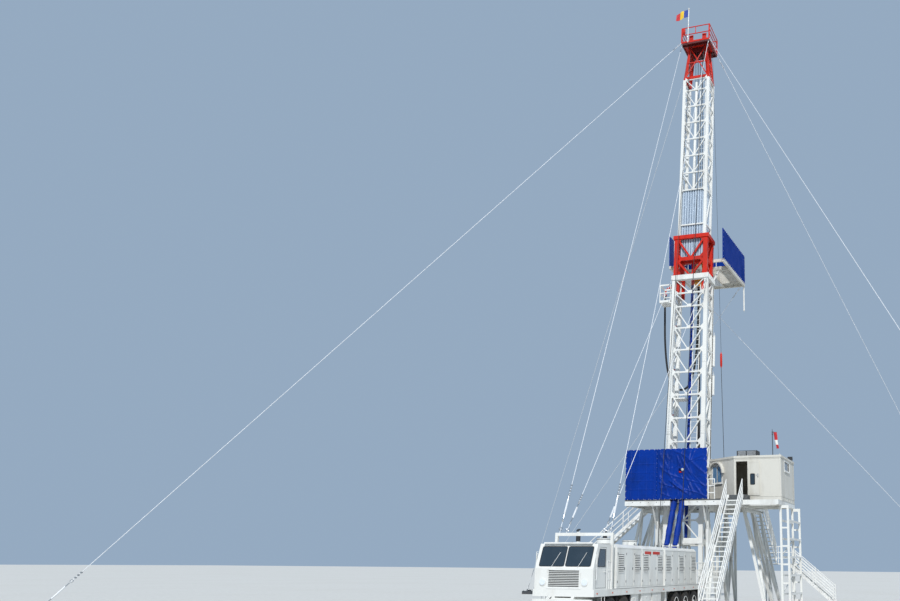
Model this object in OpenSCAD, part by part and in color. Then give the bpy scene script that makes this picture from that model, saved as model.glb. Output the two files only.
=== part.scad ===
// Mobile oil drilling rig, rigged up: carrier, leaning telescopic mast held by guy wires,
// drill floor with wind walls, doghouse, pipe board and stairs.
// Origin: the well centre at ground level. +X leaves the rig through the V-door,
// +Y is the standpipe side, +Z is up. Millimetres.

/* [Mast] */
// Lean of the mast towards the well, in degrees
mast_lean = 4.32; // [4.1:0.02:4.5]
// X of the mast's back face at its foot
mast_foot_x = -2985; // [-3020:5:-2950]
// Height of the mast's foot above the ground
mast_foot_z = 3600; // [3560:10:3640]
// Overall width of the lower mast
low_w = 2208; // [2180:2:2230]
// Depth of the lower mast, back face to front face
low_d = 1344; // [1320:2:1360]
// Height of one lattice bay of the lower mast
low_bay = 1330; // [1310:5:1345]
// Width of a lower mast leg
low_leg = 230; // [200:5:240]
// Thickness of the lattice bars across their plane
bar_t = 90; // [70:2:100]
// Width of the lattice bars as seen on the face
bar_w = 80; // [60:2:100]
// Height of the head beam round the top of the lower mast
head_h = 300; // [260:10:340]
// Overall width of the upper mast
up_w = 1760; // [1740:5:1790]
// Width of an upper mast leg
up_leg = 170; // [150:5:190]
// Height of one lattice bay of the upper mast
up_bay = 1210; // [1190:5:1230]
// Height of the tapered frame under the crown
taper_h = 2600; // [2500:10:2700]
// Overall width at the top of the tapered frame
taper_w = 1260; // [1200:10:1320]

/* [Collar] */
// Step from the lower mast's side in to the collar's
collar_in = 74; // [65:1:85]
// Width of a square collar column
collar_col = 260; // [240:5:280]
// Height of the collar above the lower mast's head beam
collar_h = 2590; // [2500:10:2700]

/* [Crown] */
// Width of the crown platform
crown_w = 1960; // [1900:10:2050]
// Length of the crown platform along X
crown_l = 1900; // [1850:10:2000]
// Height of the crown handrail
crown_rail_h = 1100; // [1000:10:1200]
// Radius of a crown sheave
sheave_r = 380; // [340:5:400]
// Height of the flagpole above the crown platform
flagpole_h = 2550; // [2400:10:2700]

/* [Pipe board] */
// Height of the board's underside above the ground
board_z = 19950; // [19900:10:20000]
// X of the board's back edge
board_x0 = -250; // [-260:5:-200]
// Length of the board along X
board_l = 5300; // [5200:10:5400]
// Y of the board's right edge
board_y0 = -1640; // [-1700:10:-1600]
// Y of the board's left edge
board_y1 = 1990; // [1950:10:2100]
// Height of the board's frame beams
board_beam = 180; // [150:5:200]
// Height of the wind walls on the board
board_wall_h = 1950; // [1850:10:2050]
// Thickness of a wind wall, frame and sheet together
wall_t = 50; // [40:2:60]

/* [Drill floor] */
// Height of the drill floor above the ground
floor_z = 5600; // [5560:10:5650]
// X of the floor's back edge
floor_x0 = -3900; // [-3960:10:-3850]
// X of the floor's front edge
floor_x1 = 2750; // [2700:10:2800]
// Y of the floor's right edge in front of the doghouse
floor_y0 = -3200; // [-3300:10:-3150]
// Y of the floor's left edge
floor_y1 = 2950; // [2900:10:3050]
// Thickness of the deck plate
deck_t = 60; // [40:4:80]
// Height of the beams under the deck
beam_h = 240; // [220:4:280]
// Height of the wind walls round the floor
wind_h = 2650; // [2600:10:2750]
// Width of the V-door opening
vdoor_w = 1010; // [980:10:1040]
// Width of the doorway in the front wind wall
fdoor_w = 760; // [720:10:800]
// Height of the doorway in the front wind wall
fdoor_h = 2000; // [1900:10:2050]
// Radius of the rotary table's flange
table_r = 560; // [540:5:580]

/* [Doghouse] */
// X of the doghouse's back wall
dog_x0 = -3100; // [-3120:5:-3090]
// X of the doghouse's front wall
dog_x1 = 400; // [380:5:410]
// Y of the doghouse's outer end
dog_y0 = -5400; // [-5430:10:-5380]
// Height of the doghouse walls
dog_h = 1960; // [1900:10:2050]
// Thickness of the doghouse walls
dog_t = 90; // [70:2:100]
// Height of the doghouse's skid base
skid_h = 260; // [240:10:280]
// Thickness of the doghouse roof
roof_t = 110; // [90:2:130]
// Width of the doghouse doorway
dog_door_w = 620; // [600:10:640]
// Height of the doghouse doorway
dog_door_h = 1780; // [1700:10:1820]

/* [Travelling gear] */
// Width across the flats of the square kelly
kelly_w = 133; // [120:1:140]
// Outer diameter of the rotary hose
hose_d = 118; // [110:2:120]
// Diameter of the standpipe
pipe_d = 127; // [110:1:135]
// Diameter of a drilling line
line_d = 32; // [28:1:36]

/* [Carrier] */
// X of the carrier's front end
car_x0 = -17300; // [-17400:10:-17200]
// Width of the carrier
car_w = 2500; // [2450:10:2540]
// Height of the carrier's deck above the ground
car_deck = 1400; // [1380:10:1430]
// Height of the housings above the carrier's deck
hous_h = 1680; // [1600:10:1750]
// Radius of a tyre
tyre_r = 560; // [540:5:575]
// Width of a tyre
tyre_w = 330; // [300:5:350]

/* [Stairs] */
// Width of a stair over its stringers
stair_w = 800; // [760:10:820]
// Slope of the doghouse stair, in degrees
rear_slope = 47; // [45:0.5:48]
// Slope of the other stairs, in degrees
side_slope = 40; // [38:0.5:42]
// Rise from one tread to the next
tread_rise = 232; // [220:2:240]
// Height of a stair handrail above the stringer
hand_h = 950; // [900:10:1000]
// Height of the handrails round the platforms
rail_h = 1050; // [1000:10:1100]

/* [Guy wires] */
// Diameter of a guy wire
guy_d = 28; // [24:1:32]

/* [Hidden] */

eps = 0.3;                       // clearance where two pieces seat
play = 10;                      // clearance round pieces that move
white = [0.93, 0.93, 0.91];
red = [0.80, 0.10, 0.08];
blue = [0.03, 0.12, 0.48];
cream = [0.86, 0.83, 0.72];
steel = [0.45, 0.46, 0.47];
yellow = [0.93, 0.62, 0.05];

// Mast frame: u is depth from the back face, v is Y, s runs up the mast
h8_s = 5240;                    // the ring just above the rear tarp
collar_w = low_w - 2 * collar_in;
head_s = h8_s + 6 * low_bay + 2 * 845;
head_top = head_s + head_h;
collar_top = head_top + collar_h;
clad_top = collar_top + 3130;
up_top = clad_top + 6 * up_bay + 850;
taper_top = up_top + taper_h;
inner_v = up_w / 2 - up_leg;     // inside face of the upper mast's legs
up_u0 = 100;                    // the upper mast's back face
bar_u = 30;                     // the lattice bars lie this far inside the leg's face
function mast(u, v, s) = [mast_foot_x + u * cos(mast_lean) + s * sin(mast_lean), v,
    mast_foot_z - u * sin(mast_lean) + s * cos(mast_lean)];
module in_mast() translate([mast_foot_x, 0, mast_foot_z]) rotate([0, mast_lean, 0]) children();

// Straight bar with n flats from p to q
module strut(p, q, d, n = 6) {
    v = q - p;
    translate(p) rotate([0, acos(v[2] / norm(v)), atan2(v[1], v[0])])
        rotate([0, 0, 180 / n]) cylinder(h = norm(v), d = d, $fn = n);
}

// Flat bar of width w from a to b in a drawing
module line2(a, b, w) {
    v = b - a;
    translate(a) rotate(atan2(v[1], v[0])) translate([-w / 2, -w / 2]) square([norm(v) + w, w]);
}

// Stands a drawing up in the plane Y-Z, t thick towards +X
module stand_yz(t) rotate([90, 0, 90]) linear_extrude(t) children();

// Stands a drawing up in the plane X-Z, t thick towards +Y
module stand_xz(t) translate([0, t, 0]) rotate([90, 0, 0]) linear_extrude(t) children();

// Makes a piece and its mirror image across the rig's middle plane
module both_sides() {
    children();
    mirror([0, 1, 0]) children();
}

// Rings of the lower mast, from its foot to the head beam
low_rings = concat([bar_w / 2, 1000, 1950], [for (i = [-2:6]) h8_s + i * low_bay],
    [h8_s + 6 * low_bay + 845]);

// Lattice of one face between x0 and x1: a ring bar at each level, V braces between
module v_lattice(x0, x1, levels, w) {
    for (i = [0:len(levels) - 1]) line2([x0, levels[i]], [x1, levels[i]], w);
    for (i = [0:len(levels) - 2]) {
        mid = [(x0 + x1) / 2, levels[i]];
        line2([x0, levels[i + 1]], mid, w * 0.7);
        line2([x1, levels[i + 1]], mid, w * 0.7);
    }
}

// Lattice with one diagonal a bay, turned over from bay to bay
module zigzag(x0, x1, levels, w) {
    for (i = [0:len(levels) - 1]) line2([x0, levels[i]], [x1, levels[i]], w);
    for (i = [0:len(levels) - 2])
        if (i % 2 == 0) line2([x0, levels[i]], [x1, levels[i + 1]], w * 0.7);
        else line2([x1, levels[i]], [x0, levels[i + 1]], w * 0.7);
}

// Back face of the lower mast with its two back legs and the head beam
module mast_lower_back() color(white) in_mast() {
    half = low_w / 2;
    both_sides() translate([0, half - low_leg, 0]) cube([low_leg, low_leg, head_top]);
    translate([bar_u, 0, 0]) stand_yz(bar_t) intersection() {
        union() {
            v_lattice(-half + low_leg, half - low_leg, concat([for (i = [2:len(low_rings) - 1])
                low_rings[i]], [head_s]), bar_w);
            for (k = [0:2]) line2([-half, low_rings[k]], [half, low_rings[k]], bar_w);
            line2([-half + low_leg, low_rings[2]], [half - low_leg, low_rings[0]], bar_w * 0.7);
            line2([-half + low_leg, low_rings[0]], [half - low_leg, low_rings[2]], bar_w * 0.7);
        }
        translate([-half + low_leg / 2, 0]) square([low_w - low_leg, head_top]);
    }
    translate([-40, -half - 45, head_s]) cube([bar_u + bar_t + 40, low_w + 90, head_h]);
}

// Sides of the lower mast, each with its front leg and the side of the head beam
module mast_lower_sides() color(white) in_mast() both_sides() {
    half = low_w / 2;
    translate([low_d - low_leg, half - low_leg, 0]) cube([low_leg, low_leg, head_top]);
    translate([0, half - bar_u - bar_t, 0]) stand_xz(bar_t) intersection() {
        zigzag(low_leg, low_d - low_leg, concat(low_rings, [head_s]), bar_w);
        translate([low_leg, 0]) square([low_d - 1.5 * low_leg, head_top]);
    }
    translate([low_leg, half - 205, head_s]) cube([low_d - low_leg + 40, 250, head_h]);
}

// Red collar: the foot of the upper mast, seated on the head beam with tongues inside it
module mast_collar() color(red) in_mast() {
    half = collar_w / 2;
    mid = head_top + 940;
    beam = 220;
    tongue = 170;
    both_sides() for (u = [0, low_d - collar_col])
        translate([u, half - collar_col, head_top]) cube([collar_col, collar_col, collar_h]);
    both_sides() for (u = [bar_u + bar_t + play, low_d - 60 - tongue])
        translate([u, low_w / 2 - low_leg - play - tongue, head_s - 800])
            cube([tongue, tongue, head_h + 1100]);
    translate([20, -half, mid]) cube([100, collar_w, beam]);
    both_sides() translate([20, half - 180, mid]) cube([low_d - 40, 100, beam]);
    translate([500, -half + 100, mid]) cube([200, collar_w - 200, beam]);
    translate([-45, -half - 75, collar_top - 240]) cube([165, collar_w + 150, 240]);
    both_sides() translate([0, inner_v, collar_top - 240])
        cube([low_d + 45, half + 75 - inner_v, 240]);
    translate([20, 0, 0]) stand_yz(bar_t) intersection() {
        for (k = [-1, 1]) {
            line2([k * (half - 200), collar_top - 240], [k * 60, mid + beam], 110);
            line2([k * (half - 200), mid], [k * 60, head_top], 110);
        }
        translate([-half, head_top]) square([collar_w, collar_h]);
    }
    both_sides() translate([0, half - 170, 0]) stand_xz(bar_t) intersection() {
        union() {
            line2([200, mid + beam], [low_d - 200, collar_top - 200], 110);
            line2([200, mid], [low_d - 200, head_top], 110);
        }
        translate([0, head_top]) square([low_d, collar_h]);
    }
    translate([600, 0, head_s - 200]) cylinder(h = mid - head_s + 250, r = 85, $fn = 24);
}

// Rings of the upper mast above its cladding
up_rings = [for (i = [0:6]) clad_top + i * up_bay];

// Back face of the upper mast: legs, lattice and the white centre tube
module mast_upper_back() color(white) in_mast() {
    half = up_w / 2;
    both_sides() translate([up_u0, inner_v, collar_top])
        cube([up_leg, up_leg, up_top - collar_top]);
    translate([up_u0 + 15, 0, 0]) stand_yz(60) intersection() {
        union() {
            v_lattice(-inner_v, inner_v, concat(up_rings, [up_top]), bar_w);
            line2([-half, collar_top + 750], [half, collar_top + 750], bar_w);
        }
        translate([-half + 20, collar_top]) square([up_w - 40, up_top - collar_top]);
    }
    translate([up_u0 + 140, 0, clad_top + eps])
        cylinder(h = up_top - clad_top - 240, r = 90, $fn = 24);
}

// Sides of the upper mast, each with its front leg
module mast_upper_sides() color(white) in_mast() both_sides() {
    translate([low_d - up_leg, inner_v, collar_top]) cube([up_leg, up_leg, up_top - collar_top]);
    translate([0, up_w / 2 - 15 - 60, 0]) stand_xz(60) intersection() {
        zigzag(up_u0 + up_leg, low_d - up_leg, concat([collar_top + 750], up_rings,
            [up_top]), bar_w);
        translate([up_u0 + up_leg, collar_top])
            square([low_d - up_u0 - 1.5 * up_leg, up_top - collar_top]);
    }
}

// Trapezoid wave from 0 to length in n waves, depth high and t thick
module wave(length, n, depth, t) {
    p = length / n;
    top = [for (i = [0:n - 1]) each [[(i + 0.15) * p, depth], [(i + 0.35) * p, 0],
        [(i + 0.65) * p, 0], [(i + 0.85) * p, depth]]];
    outer = concat([[0, depth]], top, [[length, depth]]);
    polygon(concat([for (q = outer) q + [0, t]],
        [for (i = [len(outer) - 1:-1:0]) outer[i]]));
}

// Corrugated sheets between the legs, on the back and both sides of the upper mast
module mast_cladding() color([0.72, 0.76, 0.80]) in_mast() {
    back_w = 2 * inner_v - 2 * eps;
    clad_s0 = head_top + 1180;
    side_l = low_d - up_u0 - 2 * up_leg - 2 * eps;
    translate([up_u0 + 85, back_w / 2, clad_s0]) rotate([0, 0, -90])
        linear_extrude(clad_top - clad_s0) wave(back_w, 9, 32, 6);
    both_sides() translate([up_u0 + up_leg + eps, inner_v + 20, collar_top + eps])
        linear_extrude(clad_top - collar_top) wave(side_l, 6, 32, 6);
}

// Blue wrapped extension ram up the middle of the lower mast
module extension_ram() color(blue) in_mast()
    translate([600, 0, 0]) cylinder(h = head_s - 200, r = 82, $fn = 24);

// Tapered red frame that carries the crown
module mast_top_frame() color(red) in_mast() {
    half = up_w / 2;
    inset = (up_w - taper_w) / 2;
    bot = up_top + up_leg / 2;
    foot = [for (u = [up_u0 + up_leg / 2, low_d - up_leg / 2], k = [-1, 1])
        [u, k * (half - up_leg / 2), bot]];
    head = [for (u = [up_u0 + inset, low_d - inset], k = [-1, 1])
        [u, k * (taper_w / 2 - up_leg / 2), taper_top]];
    intersection() {
        union() {
            for (i = [0:3]) strut(foot[i] - [0, 0, up_leg], head[i], up_leg * 1.35, 4);
            // back and sides: edge pair, and how far out its bars lie
            for (e = [[0, 1, [-50, 0, 0]], [0, 2, [0, 0, 0]], [1, 3, [0, 0, 0]]]) {
                a = foot[e[0]] + e[2];
                b = foot[e[1]] + e[2];
                c = head[e[0]] + e[2];
                d = head[e[1]] + e[2];
                strut(a, d, 90, 4);
                strut(b, c, 90, 4);
                strut((a + c) / 2, (b + d) / 2, 100, 4);
                strut(foot[e[0]] + [20, 0, 60], foot[e[1]] + [20, 0, 60], 240, 4);
            }
        }
        translate([up_u0 - 60, -half - 60, up_top])
            cube([low_d + 20, up_w + 120, taper_h]);
    }
}

// The sheaves turn on this line across the crown
crown_u = 627;
crown_deck = taper_top + 120;
sheave_s = crown_deck + 270;
sheave_v = 450;
sheave_t = 90;
axle_r = 45;
block_r = 245;                   // the line sheaves in the crown block

// Dark red crown block under the platform: two cheek plates with the line sheaves between
module crown_block() color([0.42, 0.07, 0.06]) in_mast() {
    depth = 760;
    cheek = 40;
    for (v = [-375, 335]) translate([crown_u - 295, v + cheek, taper_top - depth])
        rotate([90, 0, 0]) linear_extrude(cheek)
            polygon([[0, depth], [660, depth], [660, 260], [500, 0], [150, 0], [0, 260]]);
    for (u = [-295, 325]) translate([crown_u + u, -340, taper_top - 385])
        cube([40, 680, 385]);
    for (i = [-2:2]) translate([crown_u, i * 140 + 40, taper_top - 400]) rotate([90, 0, 0])
        cylinder(h = 80, r = block_r, $fn = 32);
    translate([crown_u, 360, taper_top - 400]) rotate([90, 0, 0])
        cylinder(h = 720, r = 60, $fn = 24);
}

// One straight run of handrail in a drawing: posts, top rail and mid rails
module rail_run(length, h, rails = 2, d = 45) {
    n = max(1, round(length / 1300));
    for (i = [0:n]) translate([i * (length - d) / n, 0]) square([d, h]);
    for (k = [1:rails]) translate([0, h * k / rails - d]) square([length, d]);
}

// Crown platform: a deck slotted for the two sheaves, their bearings and the handrail
module crown_platform() color(red) in_mast() {
    d = 45;
    u0 = crown_u - crown_l / 2;
    difference() {
        translate([u0, -crown_w / 2, taper_top]) cube([crown_l, crown_w, crown_deck - taper_top]);
        both_sides() translate([crown_u - sheave_r - 160, sheave_v - sheave_t / 2 - play,
            taper_top - 1]) cube([2 * sheave_r + 220, sheave_t + 2 * play, 300]);
    }
    both_sides() for (v = [sheave_v - 110, sheave_v + 70])
        translate([crown_u - 120, v, crown_deck]) cube([240, 40, 360]);
    translate([crown_u, -sheave_v - 110, sheave_s]) rotate([-90, 0, 0])
        cylinder(h = 2 * sheave_v + 220, r = axle_r, $fn = 32);
    for (v = [-crown_w / 2, crown_w / 2 - d]) translate([u0, v, crown_deck + eps])
        stand_xz(d) rail_run(crown_l, crown_rail_h, 3);
    for (u = [u0, u0 + crown_l - d]) translate([u, -crown_w / 2 + d + eps, crown_deck + eps])
        stand_yz(d) rail_run(crown_w - 2 * d - 2 * eps, crown_rail_h, 2);
}

// Two grooved sheaves on the crown's axle
module crown_sheaves() color([0.80, 0.72, 0.70]) in_mast() both_sides()
    translate([crown_u, sheave_v, sheave_s]) rotate([90, 0, 0]) {
        bore = axle_r + 0.05;
        half = sheave_t / 2;
        rotate_extrude($fn = 48) polygon([[bore, -half], [sheave_r, -half],
            [sheave_r, -half + 15], [sheave_r - 60, -15], [sheave_r - 60, 15],
            [sheave_r, half - 15], [sheave_r, half], [bore, half]]);
    }

// Flagpole at the left rear corner of the crown, outside the handrail
pole_r = 30;
pole_v = 500;
pole_top = crown_deck + flagpole_h;
module flagpole() color(white) in_mast() {
    u0 = crown_u - crown_l / 2 - pole_r - eps;
    translate([u0, pole_v, taper_top]) cylinder(h = pole_top - taper_top, r = pole_r, $fn = 16);
    translate([u0, pole_v, pole_top]) cylinder(h = 60, r = pole_r * 1.6, $fn = 16);
}

// Flag flying from the pole's top, away from the crown, in soft folds
flag_l = 880;
flag_h = 620;
module flag() color([0.85, 0.75, 0.15]) in_mast()
    translate([crown_u - crown_l / 2 - pole_r - eps, pole_v + pole_r + eps,
        pole_top - flag_h - 20]) linear_extrude(flag_h) {
        fold = [for (i = [0:24]) [28 * sin(i * 30) * i / 24, i * flag_l / 24]];
        polygon(concat([for (p = fold) p + [-6, 0]], [for (i = [24:-1:0]) fold[i] + [6, 0]]));
    }

board_top = board_z + board_beam;
board_x1 = board_x0 + board_l;
walk_y = 1200;                   // the walkway lies outside this Y
walk_x0 = 150;                   // the walkway starts here
dive_x0 = 350;
finger_y = 330;                  // a finger's tip

// Pipe board: beams, the cream plate strip, the diving board and the corrugated walkway
module board_frame() color(cream) {
    b = board_beam;
    difference() {
        union() {
            translate([board_x0, board_y0, board_z]) cube([board_l, walk_y - board_y0, b]);
            translate([walk_x0, walk_y - 120, board_z])
                cube([board_x1 - walk_x0, board_y1 - walk_y + 120, b]);
        }
        translate([board_x0 + 120, board_y0 + 120, board_z - 1])
            cube([board_l - 240, walk_y - 240 - board_y0, b + 2]);
        translate([walk_x0 - 1, walk_y, board_z - 1])
            cube([board_x1 - 119 - walk_x0, board_y1 - 120 - walk_y, b + 2]);
        translate([board_x0 - 1, -770, board_z - 1]) cube([200, 1540, b + 2]);
    }
    translate([1340, board_y0 + 60, board_z]) cube([120, walk_y - 120 - board_y0, b]);
    translate([board_x1 - 750, board_y0 + 60, board_top - 30])
        cube([600, walk_y - 120 - board_y0, 30]);
    translate([walk_x0, walk_y - 20, board_top - 70]) rotate([90, 0, 90])
        linear_extrude(board_x1 - walk_x0 - 60) wave(board_y1 - walk_y - 80, 3, 50, 8);
    dive_l = board_x1 - 100 - dive_x0;
    for (v = [-300, 280]) translate([dive_x0, v, board_z]) cube([dive_l, 20, b + 70]);
    translate([dive_x0, -300, board_z + 60]) cube([dive_l, 600, 20]);
    translate([dive_x0, 0, board_z + 60]) cylinder(h = 20, r = 300, $fn = 48);
    both_sides() in_mast() translate([low_d + eps, collar_w / 2 - 240, 16515])
        cube([220, 220, 165]);
}

// Fingers that the pipe stands between, from both side beams towards the diving board
finger_gap = (board_x1 - 984 - 1510) / 12;
finger_x = concat([960, 1170], [for (i = [0:12]) 1510 + i * finger_gap]);
module board_fingers() color(cream) for (x = finger_x) {
    translate([x, board_y0 + 120, board_z + 40]) cube([60, -finger_y - board_y0 - 120, 85]);
    translate([x, finger_y, board_z + 40]) cube([60, walk_y - 120 - finger_y, 85]);
}

// Blue wind walls on three sides of the board
module board_walls() color(blue) translate([0, 0, board_top]) {
    translate([board_x0 - 100, board_y0, 0])
        cube([board_l + 100 - wall_t - eps, wall_t, board_wall_h]);
    translate([board_x1 - wall_t, board_y0, 0])
        cube([wall_t, board_y1 - board_y0, board_wall_h]);
    translate([walk_x0, board_y1 - wall_t, 0])
        cube([board_x1 - walk_x0 - wall_t - eps, wall_t, board_wall_h]);
}

// White struts under the board, and the tube that hangs from its front corner
module board_struts() color(white) {
    both_sides() difference() {
        strut([1400, 900, board_z + 60], mast(low_d - 60, 1010, head_s + 150), 110, 24);
        translate([1000, 700, board_z - eps]) cube([900, 400, 400]);
        in_mast() translate([low_leg, low_w / 2 - 205, head_s - 200])
            cube([low_d - low_leg + 40 + eps, 250, head_h + 400]);
    }
    translate([board_x1 - 60, board_y0 + 70, board_z - 1600]) cylinder(h = 1600 - eps, d = 100, $fn = 24);
}

// Red standpipe up the left side of the mast, with its gooseneck and hose flange
sp_u = 1150;
sp_v = low_w / 2 + 146;
sp_r = 330;                      // radius of the gooseneck
sp_top = 14600;
hose_s = sp_top - 160;           // the hose hangs from here
module standpipe() color(red) {
    foot = mast(sp_u, sp_v, 2093);
    in_mast() {
        translate([sp_u, sp_v, 2113]) cylinder(h = sp_top - 2113, d = pipe_d, $fn = 32);
        translate([sp_u, sp_v + sp_r, sp_top]) rotate([90, 0, 90])
            rotate_extrude(angle = 180, $fn = 64) translate([sp_r, 0]) circle(d = pipe_d, $fn = 32);
        translate([sp_u, sp_v + 2 * sp_r, hose_s]) cylinder(h = sp_top - hose_s, d = pipe_d, $fn = 32);
        translate([sp_u, sp_v + 2 * sp_r, hose_s]) cylinder(h = 50, r = 100, $fn = 32);
        for (s = [4300, 7000, 9700, 12400])
            translate([sp_u - 20, low_w / 2, s]) cube([60, sp_v - low_w / 2, 70]);
    }
    translate([foot[0], foot[1], floor_z]) cylinder(h = 50, r = 110, $fn = 32);
}

// Rotary hose: a tube swept along these points, from the gooseneck to the swivel
swivel_x = 400;
swivel_y = 160;
swivel_z = 18850;
hose_pts = [mast(sp_u, sp_v + 2 * sp_r, hose_s - eps), [-762, 1905, 16500], [-740, 1880, 15000],
    [-670, 1780, 13650], [-560, 1610, 12800], [-390, 1360, 12330], [-170, 1050, 12200],
    [70, 720, 12420], [230, 460, 13100], [330, 290, 14300], [385, 200, 16000],
    [swivel_x, swivel_y, 17600], [swivel_x, swivel_y, swivel_z]];
function bend(a, b, c, d, t) = 0.5 * (2 * b + (c - a) * t + (2 * a - 5 * b + 4 * c - d) * t * t
    + (3 * b - a - 3 * c + d) * t * t * t);
function unit(v) = v / norm(v);
module rotary_hose() color([0.10, 0.10, 0.11]) {
    n = len(hose_pts) - 1;
    sides = 12;
    first = 2 * hose_pts[0] - mast(sp_u, sp_v + 2 * sp_r, hose_s - 1400) ;
    p = concat([first], hose_pts, [[swivel_x, swivel_y, swivel_z + 1250]]);
    way = concat([for (i = [0:n - 1], k = [0:5])
        bend(p[i], p[i + 1], p[i + 2], p[i + 3], k / 6)], [hose_pts[n]]);
    m = len(way) - 1;
    side = unit([hose_pts[0][1] - swivel_y, swivel_x - hose_pts[0][0], 0]);
    rings = [for (i = [0:m]) let (
        t = i == 0 ? unit(mast(0, 0, 0) - mast(0, 0, 1)) : i == m ? [0, 0, 1]
            : unit(way[i + 1] - way[i - 1]),
        b = unit(cross(t, side)), a = cross(b, t))
        each [for (k = [0:sides - 1]) way[i] + hose_d / 2 * (cos(k * 360 / sides) * a
            + sin(k * 360 / sides) * b)]];
    polyhedron(points = rings, faces = concat([[for (k = [0:sides - 1]) k]],
        [[for (k = [sides - 1:-1:0]) m * sides + k]],
        [for (i = [0:m - 1], k = [0:sides - 1]) [i * sides + k, (i + 1) * sides + k,
            (i + 1) * sides + (k + 1) % sides, i * sides + (k + 1) % sides]]));
}

// Yellow travelling block: cheek plates round its sheaves, and the hook that holds the swivel
hook_z = 20245;
module travelling_block() color(yellow) {
    top = 22050;
    for (y = [-330, 290]) translate([0, y, 0]) stand_xz(40) polygon([[-330, 21000], [-250, 20750],
        [250, 20750], [330, 21000], [330, 21800], [200, top], [-200, top], [-330, 21800]]);
    for (i = [-1:1]) translate([0, i * 150 + 40, 21450]) rotate([90, 0, 0])
        cylinder(h = 80, r = block_r, $fn = 32);
    translate([0, 370, 21450]) rotate([90, 0, 0]) cylinder(h = 740, r = 70, $fn = 24);
    translate([-170, -290, 20750]) cube([340, 580, 130]);
    translate([0, 0, 20400]) cylinder(h = 380, r = 120, $fn = 32);
    translate([0, 0, hook_z]) rotate([90, 0, 0]) translate([0, 0, -45]) linear_extrude(90)
        difference() {
            circle(r = 185, $fn = 48);
            circle(r = 60, $fn = 48);
            translate([0, -60]) square([300, 120]);
        }
}

// Swivel: body, bail arms up to the hook, and the gooseneck for the hose
module swivel() color(yellow) {
    z0 = 18550;
    rotate_extrude($fn = 64) polygon([[0, z0], [200, z0], [240, z0 + 120], [320, z0 + 200],
        [330, z0 + 430], [290, z0 + 600], [180, z0 + 680], [150, z0 + 760], [0, z0 + 760]]);
    reach = norm([swivel_x, swivel_y]) / 2;
    neck = z0 + 900;
    rotate([0, 0, atan2(swivel_y, swivel_x)]) {
        translate([0, 0, z0 + 700]) cylinder(h = neck - z0 - 700, r = 55, $fn = 32);
        translate([reach, 0, neck]) rotate([90, 0, 0])
            rotate_extrude(angle = 180, $fn = 64) translate([reach, 0]) circle(r = 55, $fn = 32);
        translate([2 * reach, 0, swivel_z]) cylinder(h = neck - swivel_z, r = 55, $fn = 32);
        translate([2 * reach, 0, swivel_z]) cylinder(h = 40, r = 88, $fn = 32);
    }
    both_sides() {
        strut([0, 385, z0 + 330], [0, 150, hook_z], 90, 24);
        translate([0, 430, z0 + 330]) rotate([90, 0, 0]) cylinder(h = 130, r = 85, $fn = 24);
    }
    translate([0, 175, hook_z]) rotate([90, 0, 0]) cylinder(h = 350, r = 45, $fn = 24);
}

// Square kelly with its upper sub, and the lower sub that the bushing hangs on
bush_z = 7100;
module kelly() color([0.22, 0.22, 0.23]) {
    translate([0, 0, 18350]) cylinder(h = 200 - eps, r = 100, $fn = 32);
    translate([-kelly_w / 2, -kelly_w / 2, bush_z - 60]) cube([kelly_w, kelly_w, 18460 - bush_z]);
    translate([0, 0, 5300]) cylinder(h = bush_z - eps - 5300, r = 97, $fn = 32);
}

// Drive bushing that hangs on the raised kelly, with its orange pin plate
module kelly_bushing() color([0.55, 0.20, 0.10]) translate([0, 0, bush_z]) difference() {
    union() {
        cylinder(h = 300, r = 330, $fn = 48);
        translate([0, 0, 300]) cylinder(h = 90, r = 260, $fn = 48);
        translate([0, 0, 390]) cylinder(h = 60, r = 200, $fn = 48);
    }
    translate([-kelly_w / 2 - eps, -kelly_w / 2 - eps, -1])
        cube([kelly_w + 2 * eps, kelly_w + 2 * eps, 500]);
}

// Rotary table set in the deck over the well
module rotary_table() color(steel) difference() {
    union() {
        translate([0, 0, floor_z]) cylinder(h = 50, r = table_r, $fn = 64);
        translate([0, 0, floor_z - deck_t]) cylinder(h = deck_t + 90, r = 380, $fn = 64);
    }
    translate([0, 0, floor_z - 200]) cylinder(h = 400, r = 115, $fn = 48);
}

// Drilling lines: six parts between the crown and the block, the fast line and the dead line
line_s = sheave_s;
hous_top = car_deck + hous_h;
module drilling_lines() color([0.20, 0.20, 0.21]) {
    line_u = crown_u - sheave_r - line_d / 2 - 6;
    line_x = block_r + 14;
    for (y = [-150, 0, 150], x = [-1, 1]) difference() {
        strut([x * line_x, y, 21450], mast(crown_u, 0, taper_top - 400) + [x * line_x, y, 0],
            line_d, 8);
        translate([0, y + 41, 21450]) rotate([90, 0, 0]) cylinder(h = 82, r = block_r + eps, $fn = 32);
        in_mast() translate([crown_u, y + 41, taper_top - 400]) rotate([90, 0, 0])
            cylinder(h = 82, r = block_r + eps, $fn = 32);
    }
    for (e = [[-5600, sheave_v], [-4700, -sheave_v]]) difference() {
        strut([e[0], e[1], hous_top - 60], mast(line_u, e[1], line_s), line_d, 8);
        translate([-6000, -600, hous_top - 200]) cube([2000, 1200, 200 + eps]);
    }
}

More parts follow.
